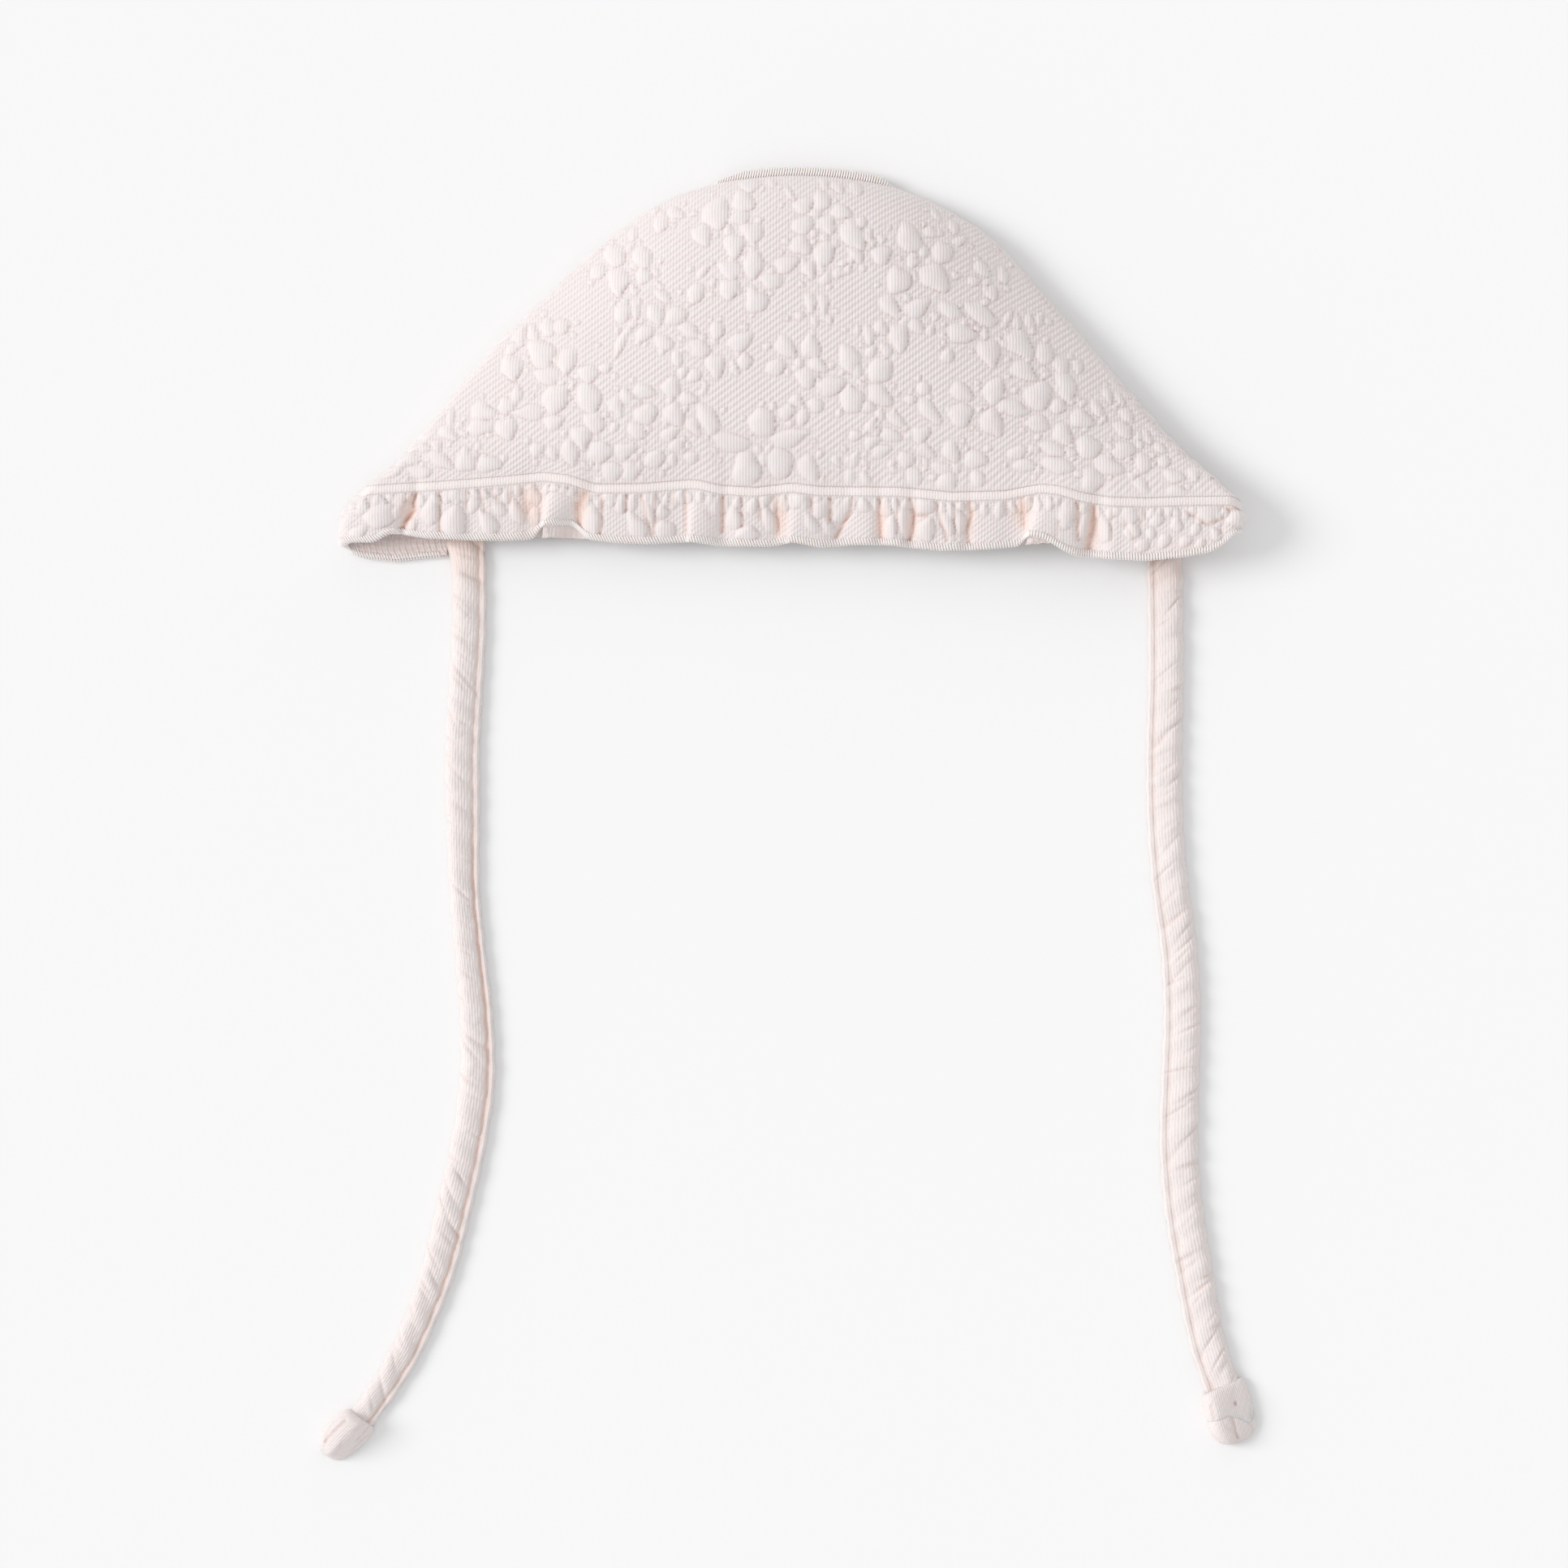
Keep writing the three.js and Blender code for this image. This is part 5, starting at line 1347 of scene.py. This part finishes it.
def ruffle():
    """The ruffle's shell, from hem to seam, and its inside, which shows where a fold stands up."""
    upper = int(RUFFLE_SPAN / RUFFLE_ACROSS)
    turns = all_turns(upper)
    shares = np.linspace(1, 0, RUFFLE_ROWS + 1)
    share, turn = np.meshgrid(shares, turns, indexing="ij")
    shape = share.shape
    share = share.ravel()
    turn = turn.ravel()
    along = cloth_x(ruffle_ring(share), turn)
    _, lean, plan_height, _ = ruffle_base(turn, share, np.zeros_like(turn))
    seen = along - lean
    puffs = list(RUFFLE_PUFFS) + seam_tucks(TUCK_SEED) + under_puffs(UNDER_SEED)
    creases = [(*row[:4], row[4] * CREASE_DEPTH, row[5] * CREASE_WIDTH) for row in RUFFLE_CREASES]

    def face(step_x, step_y):
        at = (seen + step_x, plan_height + step_y)
        finer = [RUFFLE_FINENESS * place for place in at]
        knitted = knit_relief(*at, *finer, puffs, RUFFLE_SWELL, RUFFLE_RIB_DEPTH)
        return knitted - crease_lines(*at, creases)

    relief, crease_shade = hollows(face)
    from_hem = (1 - share) * RUFFLE_DEPTH
    from_seam = share * RUFFLE_DEPTH
    settle = smoothstep(from_hem, 0.4, 2.2) * smoothstep(from_seam, 0.0, 1.0) * flat_under(turn)
    inset = np.minimum(-relief * settle + RUFFLE_EDGE_DIP * bell(from_seam, 0.5), WALL - 0.7)
    glow = np.zeros_like(seen)
    for at_x, at_y, half_x, half_y, strength in RUFFLE_GLOWS:
        glow += strength * bell(seen - at_x, half_x) * bell(plan_height - at_y, half_y)
    pressed = crease_lines(seen, plan_height, creases)
    glow = np.clip(glow * 1.1 + 0.45 * pressed, 0, 1) * flat_under(turn)
    # Painted shade in the knit's hollows, in the creases and in a line along the seam
    crease_shade = crease_shade * settle * 0.6 + 0.24 * pressed + RUFFLE_EDGE_SHADE * bell(from_seam, 0.5)
    crease_shade = np.clip(crease_shade, 0, 1) * flat_under(turn)
    outer = ruffle_point(turn, share, inset)
    index = np.arange(len(outer)).reshape(shape)

    inner_turns = coarse_turns(upper, INSIDE_UNDER_COLUMNS)
    inner_shares = np.append(np.ones(len(INSIDE_FALLS)), np.linspace(1, 0, INSIDE_ROWS))
    falls = np.append(INSIDE_FALLS, np.ones(INSIDE_ROWS))[:, None]
    grid_share, grid_turn = np.meshgrid(inner_shares, inner_turns, indexing="ij")
    inner_along = cloth_x(ruffle_ring(grid_share), grid_turn)
    inner_x = ruffle_point(grid_turn, grid_share, WALL)[..., 0]
    drop = np.zeros_like(inner_x)
    for line in INSIDE_HEM_LINES:
        above = line_height(inner_x, HEM_LINE, 1.0) - np.interp(inner_x, *zip(*line))
        drop += np.maximum(above, 0) * (inner_x > line[0][0]) * (inner_x < line[1][0])
    drop = drop * falls * smoothstep(grid_share, 0.7, 1.0) * (np.abs(grid_turn) < 1)
    bare = np.maximum(smoothstep(np.abs(grid_turn), 1.1, 1.5), smoothstep(drop, 0.1, 0.8))
    net = netted(inner_along * 0.8, (grid_share * RUFFLE_DEPTH + drop) * 0.8) * bare
    deep = np.where(np.arange(len(inner_shares))[:, None] == 0, 0.45 * WALL, WALL + 0.4 * net)
    inner = ruffle_point(grid_turn, grid_share, deep)
    inner[..., 1] -= drop
    inner[..., 2] = np.maximum(inner[..., 2] - 0.35 * drop, 0.3)
    inner_index = np.arange(grid_turn.size).reshape(grid_turn.shape) + len(outer)
    triangles = np.concatenate([
        grid_triangles(index), grid_triangles(inner_index)[:, ::-1],
        rims(list(index), [turns, turns], 1 - shares, inner_index, inner_turns, 1 - inner_shares),
    ])
    inner_cloth = np.stack([inner_along, -grid_share * RUFFLE_DEPTH], axis=-1)
    cloth = np.concatenate([np.stack([seen, plan_height], axis=-1), inner_cloth.reshape(-1, 2)])
    points = np.concatenate([outer, inner.reshape(-1, 3)])
    # Painted shade on the inside, stronger where it shows bare and lighter on its bumps
    inner_shade = (RUFFLE_INSIDE_SHADE[0] + RUFFLE_INSIDE_SHADE[1] * bare) * (1 - net)
    crease_shade = np.concatenate([crease_shade, inner_shade.ravel()])
    glow = np.concatenate([glow, np.full(grid_turn.size, INSIDE_GLOW)])
    return piece("ruffle_knit", points, triangles, blister_knit, cloth, crease_shade, glow)


ruffle_piece = ruffle()
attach(ruffle_piece, "root")
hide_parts("ruffle")

# Overlock stitches over the hem: each goes from the upper face over the edge to the underside.
# Each row is how far back from the edge, how far in from the outer face, and how far along the hem
HEM_STITCH = (
    (1.9, 0.15, -0.55), (1.2, -0.1, -0.25), (0.3, -0.08, 0.0), (-0.34, 0.4, 0.15), (-0.36, 1.4, 0.2),
    (0.2, 2.15, 0.3), (1.2, 2.2, 0.5),
)
HEM_PITCH = 0.8
HEM_SEWN = 1.98
HEM_FINE_STEPS = 6000
HEM_MARGIN = 1.0
THREAD_RADIUS = 0.3


def hem_threads():
    """The overlock threads over the hem, from one end of the ruffle to the other."""
    fine = np.linspace(-HEM_SEWN, HEM_SEWN, HEM_FINE_STEPS)
    edge = ruffle_point(fine, np.ones_like(fine), np.zeros_like(fine))
    walked = walked_along(edge)
    table = np.array(HEM_STITCH)
    places = np.arange(HEM_MARGIN, walked[-1] - HEM_MARGIN, HEM_PITCH)
    along = places[:, None] + table[:, 2]
    turn = np.interp(along, walked, fine)
    share = 1 - np.broadcast_to(table[:, 0], turn.shape) / RUFFLE_DEPTH
    under = flat_under(turn)
    inset = np.broadcast_to(table[:, 1], turn.shape)
    inset = np.where(inset < 0, inset * under, inset)
    return threads(ruffle_point(turn, share, inset), THREAD_RADIUS)


hem_points, hem_triangles = hem_threads()
hem_piece = piece("hem_overlock", hem_points, hem_triangles, sewing_thread)
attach(hem_piece, "root")

# The band between crown and ruffle: a stitched bead. Forward of the crown's edge and in from the
# outer face, in millimetres
BAND_SECTION = (
    (-0.12, 1.0), (-0.12, 0.4), (0.05, 0.02), (0.45, -0.3), (1.25, -0.45), (2.05, -0.3), (2.45, 0.02),
    (2.62, 0.4), (2.62, 1.0), (2.4, 1.7), (1.9, 2.0), (1.25, 2.0), (0.6, 2.0), (0.1, 1.7),
)
BAND_MIDDLE = 1.25
BAND_WIDTH = 2.5
BAND_SPAN = 247
BAND_EDGE_SHADE = 0.16
BAND_POINTS = 32
BAND_STEP = 0.5


def seam_band():
    """The bead between crown and ruffle, with a row of stitches along each side of it."""
    section, _ = closed_curve(BAND_SECTION, BAND_POINTS)
    upper = int(BAND_SPAN / BAND_STEP)
    turns = all_turns(upper)
    turn = np.repeat(turns[:, None], BAND_POINTS, axis=1)
    forward = np.broadcast_to(section[:, 0], turn.shape)
    inset = np.broadcast_to(section[:, 1], turn.shape)
    on_under = smoothstep(np.abs(turn), 0.96, 1.08)
    ring = ruffle_ring(np.zeros_like(turn))
    ring[..., 0] += LEFT_FLARE * (1 - np.clip(forward / BAND_WIDTH, 0, 1))
    along = cloth_x(ring, turn)
    stitch = 0.07 * (np.cos(2 * math.pi * along / 1.7) + 0.6 * np.cos(2 * math.pi * along / 1.1 + 1))
    dimple = stitch * (np.abs(forward - BAND_MIDDLE) > 0.5) * (inset < 0.2)
    inset = np.where(inset < 0.1, inset + (0.1 - inset) * on_under, inset) - dimple
    x, y, z = ring_point(ring, turn, inset)
    rise, _ = gather_at(x, turn, 0.0)
    y = seam_y(x, y + SEAM_WIDTH + 2 * SEWN_GAP, turn) - 0.04 - forward
    loops = np.stack([x, y, z + rise * SEAM_SHARE], axis=-1)[:, ::-1]
    points, triangles = loft(loops)
    cloth = with_ends(np.stack([along, forward], axis=-1)[:, ::-1].reshape(-1, 2))
    # Painted shade where the band's edges tuck in beside the crown and the ruffle
    tucked_shade = smoothstep(np.abs(forward - BAND_MIDDLE), 0.85, 1.3)[:, ::-1]
    crease_shade = with_ends(tucked_shade.ravel() * BAND_EDGE_SHADE)
    return piece("seam_band_jersey", points, triangles, plain_binding, cloth, crease_shade)


band_piece = seam_band()
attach(band_piece, "root")
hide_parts("seam_band")

# The lip at the top, where the band is overlocked to the back panel. Out from the crown's edge
# and height, in millimetres
LIP_SECTION = (
    (-0.6, 1.6), (-0.8, 3.6), (-0.4, 4.9), (0.4, 5.0), (1.2, 4.7), (1.8, 3.8), (2.0, 2.4), (1.6, 1.5),
    (0.4, 1.35),
)
LIP_FACE = 5.2
LIP_POINTS = 24
LIP_STEPS = 120
# Turns where the lip begins and ends, between which it stands out in full, and between which it
# has threads. At its ends it keeps LIP_TAPER of its depth and lies LIP_SINK lower
LIP_TURNS = (-1.2, 1.2)
LIP_ENDS = (-0.66, 0.8)
LIP_SEWN = (-1.1, 1.08)
LIP_TAPER = 0.15
LIP_SINK = 0.7
# Its stitches, in rows of out from the crown's edge, height, and how far along. LIP_TURN_LENGTH is
# one turn in millimetres, and LIP_END_RADIUS the share of their radius that the last threads have
LIP_STITCH = (
    (-0.3, 5.35, -0.4), (0.4, 5.45, -0.2), (1.2, 5.15, 0.0), (1.9, 4.4, 0.1), (2.2, 3.3, 0.2),
    (2.1, 2.2, 0.3),
)
LIP_PITCH = 0.72
LIP_TURN_LENGTH = 26
LIP_FINE_STEPS = 2000
LIP_MARGIN = 0.8
LIP_END_RADIUS = 0.45


def lip_shown(turn):
    """How far the lip stands out, from 0 at its ends to 1."""
    from_left = smoothstep(turn, LIP_TURNS[0], LIP_ENDS[0])
    return from_left * smoothstep(-turn, -LIP_TURNS[1], -LIP_ENDS[1])


def lip_point(turn, out, z):
    """A point of the lip, out from the crown's top edge. Heights are for a face LIP_FACE high."""
    x, y, face = ring_point(crown_ring(np.ones_like(turn)), turn, np.zeros_like(turn))
    shown = lip_shown(turn)
    depth = LIP_TAPER + (1 - LIP_TAPER) * shown
    sunk = LIP_SINK * (1 - shown)
    risen = z + (face - LIP_FACE - sunk) * np.clip(z / LIP_FACE, 0, 1)
    return np.stack([x, y + out * depth, risen], axis=-1)


def back_seam():
    """The lip's own padded edge, which the threads lie on."""
    section, _ = closed_curve(LIP_SECTION, LIP_POINTS)
    turn = np.repeat(np.linspace(*LIP_TURNS, LIP_STEPS)[:, None], LIP_POINTS, axis=1)
    ripple = 1 + 0.06 * np.cos(2 * math.pi * turn * LIP_TURN_LENGTH / LIP_PITCH)
    height = np.broadcast_to(section[:, 1], turn.shape)
    return loft(lip_point(turn, section[:, 0] * ripple, height)[:, ::-1])


def lip_threads():
    """The overlock threads over the lip, thinner towards its ends."""
    fine = np.linspace(*LIP_TURNS, LIP_FINE_STEPS)
    fine = fine[(fine > LIP_SEWN[0]) & (fine < LIP_SEWN[1])]
    edge = lip_point(fine, np.zeros_like(fine), np.zeros_like(fine))
    walked = walked_along(edge)
    table = np.array(LIP_STITCH)
    along = np.arange(LIP_MARGIN, walked[-1] - LIP_MARGIN, LIP_PITCH)[:, None] + table[:, 2]
    turn = np.interp(along, walked, fine)
    out = np.broadcast_to(table[:, 0], turn.shape)
    height = np.broadcast_to(table[:, 1], turn.shape)
    shown = lip_shown(turn[:, 0])
    radius = THREAD_RADIUS * (LIP_END_RADIUS + (1 - LIP_END_RADIUS) * shown)
    return threads(lip_point(turn, out, height), radius)


lip_points, lip_triangles = back_seam()
lip_piece = piece(
    "back_seam_edge", lip_points, lip_triangles, plain_binding, cloth=lip_points[:, :2])
lip_thread_points, lip_thread_triangles = lip_threads()
lip_thread_piece = piece("back_seam_overlock", lip_thread_points, lip_thread_triangles, sewing_thread)
for made, slot in ((lip_piece, "binding"), (lip_thread_piece, "thread")):
    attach(made, "root")
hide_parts("back_seam")


# The back panel, the under layer's horseshoe, ribbed on its upper side and flat underneath. It
# can't be seen in the photo, so its ribs are drawn twice as wide as the crown's
PANEL_COLUMNS = 90
PANEL_ROWS = 80
PANEL_RIBS = 0.3


def back_panel():
    shares = np.linspace(0, 1, PANEL_COLUMNS)
    stations = np.linspace(0, 1, PANEL_ROWS)
    station, share = np.meshgrid(stations, shares, indexing="ij")
    ring = columns_of(crown_ring(station))
    width = ring["panel_right"] - ring["panel_left"] - 2 * SEWN_GAP
    x = ring["panel_left"] + SEWN_GAP + width * share
    y = plan_y(ring, x, ring["under_bow"])
    top = WALL - PANEL_RIBS + PANEL_RIBS * ribbed(x * 0.5, y * 0.5)
    upper = np.stack([x, y, top], axis=-1).reshape(-1, 3)
    lower = np.stack([x, y, np.zeros_like(x)], axis=-1).reshape(-1, 3)
    index = np.arange(x.size).reshape(x.shape)
    low_index = index + x.size
    triangles = np.concatenate([
        grid_triangles(index), grid_triangles(low_index)[:, ::-1],
        rims(list(index), [shares, shares], stations, low_index, shares, stations),
    ])
    cloth = np.tile(np.stack([x, y], axis=-1).reshape(-1, 2), (2, 1))
    # Painted shade over the panel's upper face, and less over its underside
    crease_shade = np.concatenate([np.full(x.size, 0.25), np.full(x.size, 0.1)])
    points = np.concatenate([upper, lower])
    return piece("back_panel_knit", points, triangles, blister_knit, cloth, crease_shade)


panel_piece = back_panel()
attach(panel_piece, "root")
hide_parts("back_panel")

# The bound neck edge. Forward of the under layer's edge and height, in millimetres
BINDING_SECTION = (
    (0.0, 0.6), (0.0, 1.7), (0.25, 2.4), (0.9, 2.7), (2.0, 2.62), (3.2, 2.7), (3.9, 2.4), (4.2, 1.6),
    (4.15, 0.7), (3.7, 0.1), (2.2, 0.0), (0.6, 0.05),
)
BINDING_POINTS = 28
BINDING_STEPS = 300


def neck_binding():
    section, _ = closed_curve(BINDING_SECTION, BINDING_POINTS)
    from_x = TIE_ROUTES["left"][0][0] + TIE_WIDTH / 2 + SEWN_GAP
    to_x = TIE_ROUTES["right"][0][0] - TIE_WIDTH / 2 - SEWN_GAP
    x = np.repeat(np.linspace(from_x, to_x, BINDING_STEPS)[:, None], BINDING_POINTS, axis=1)
    ring = columns_of(np.broadcast_to(CROWN_RINGS[0], (*x.shape, len(RING_COLUMNS))))
    back_y = plan_y(ring, x, ring["under_bow"]) - SEWN_GAP
    forward = np.broadcast_to(section[:, 0], x.shape)
    height = np.broadcast_to(section[:, 1], x.shape)
    pucker = 0.12 * np.cos(2 * math.pi * x / 2.3) * (height > 1.5) * (np.abs(forward - 2.0) > 0.8)
    loops = np.stack([x, back_y - forward, height - 0.05 + pucker], axis=-1)[:, ::-1]
    loops[..., 2] = np.maximum(loops[..., 2], 0)
    points, triangles = loft(loops)
    cloth = with_ends(np.stack([x, forward], axis=-1)[:, ::-1].reshape(-1, 2))
    return piece("neck_binding_jersey", points, triangles, plain_binding, cloth)


binding_piece = neck_binding()
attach(binding_piece, "root")
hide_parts("neck_binding")

# Pale paper floor, in metres, a little below the bonnet so that the two never share a face
HALF_FLOOR = 3.0
FLOOR_DROP = 0.0002
floor_mesh = bpy.data.meshes.new("floor")
floor_corners = [(x * HALF_FLOOR, y * HALF_FLOOR, 0) for x, y in ((-1, -1), (1, -1), (1, 1), (-1, 1))]
floor_mesh.from_pydata(floor_corners, [], [(0, 1, 2, 3)])
floor_mesh.materials.append(floor_paper)
floor = bpy.data.objects.new("floor", floor_mesh)
floor.location = (0, 0, -FLOOR_DROP)
bpy.context.scene.collection.objects.link(floor)

# Light: an even pale room, and one broad soft lamp high on the left
ROOM_STRENGTH = 0.76
LAMP_STRENGTH = 1.585
LAMP_ANGLE = 26.0
LAMP_FROM = (-1.0, 0.15, 0.66)

world = bpy.data.worlds.new("pale_room")
world.use_nodes = True
world.node_tree.nodes.clear()
room = add_node(
    world.node_tree, "ShaderNodeBackground", {"Color": srgb("#FFFFFF"), "Strength": ROOM_STRENGTH})
add_node(world.node_tree, "ShaderNodeOutputWorld", links={"Surface": room.outputs["Background"]})
bpy.context.scene.world = world

lamp_data = bpy.data.lights.new("broad_lamp", "SUN")
lamp_data.energy = LAMP_STRENGTH
lamp_data.angle = math.radians(LAMP_ANGLE)
lamp = bpy.data.objects.new("broad_lamp", lamp_data)
lamp.rotation_mode = "QUATERNION"
lamp.rotation_quaternion = Vector(LAMP_FROM).to_track_quat("Z", "Y")
bpy.context.scene.collection.objects.link(lamp)
bpy.context.scene.view_settings.view_transform = "Standard"
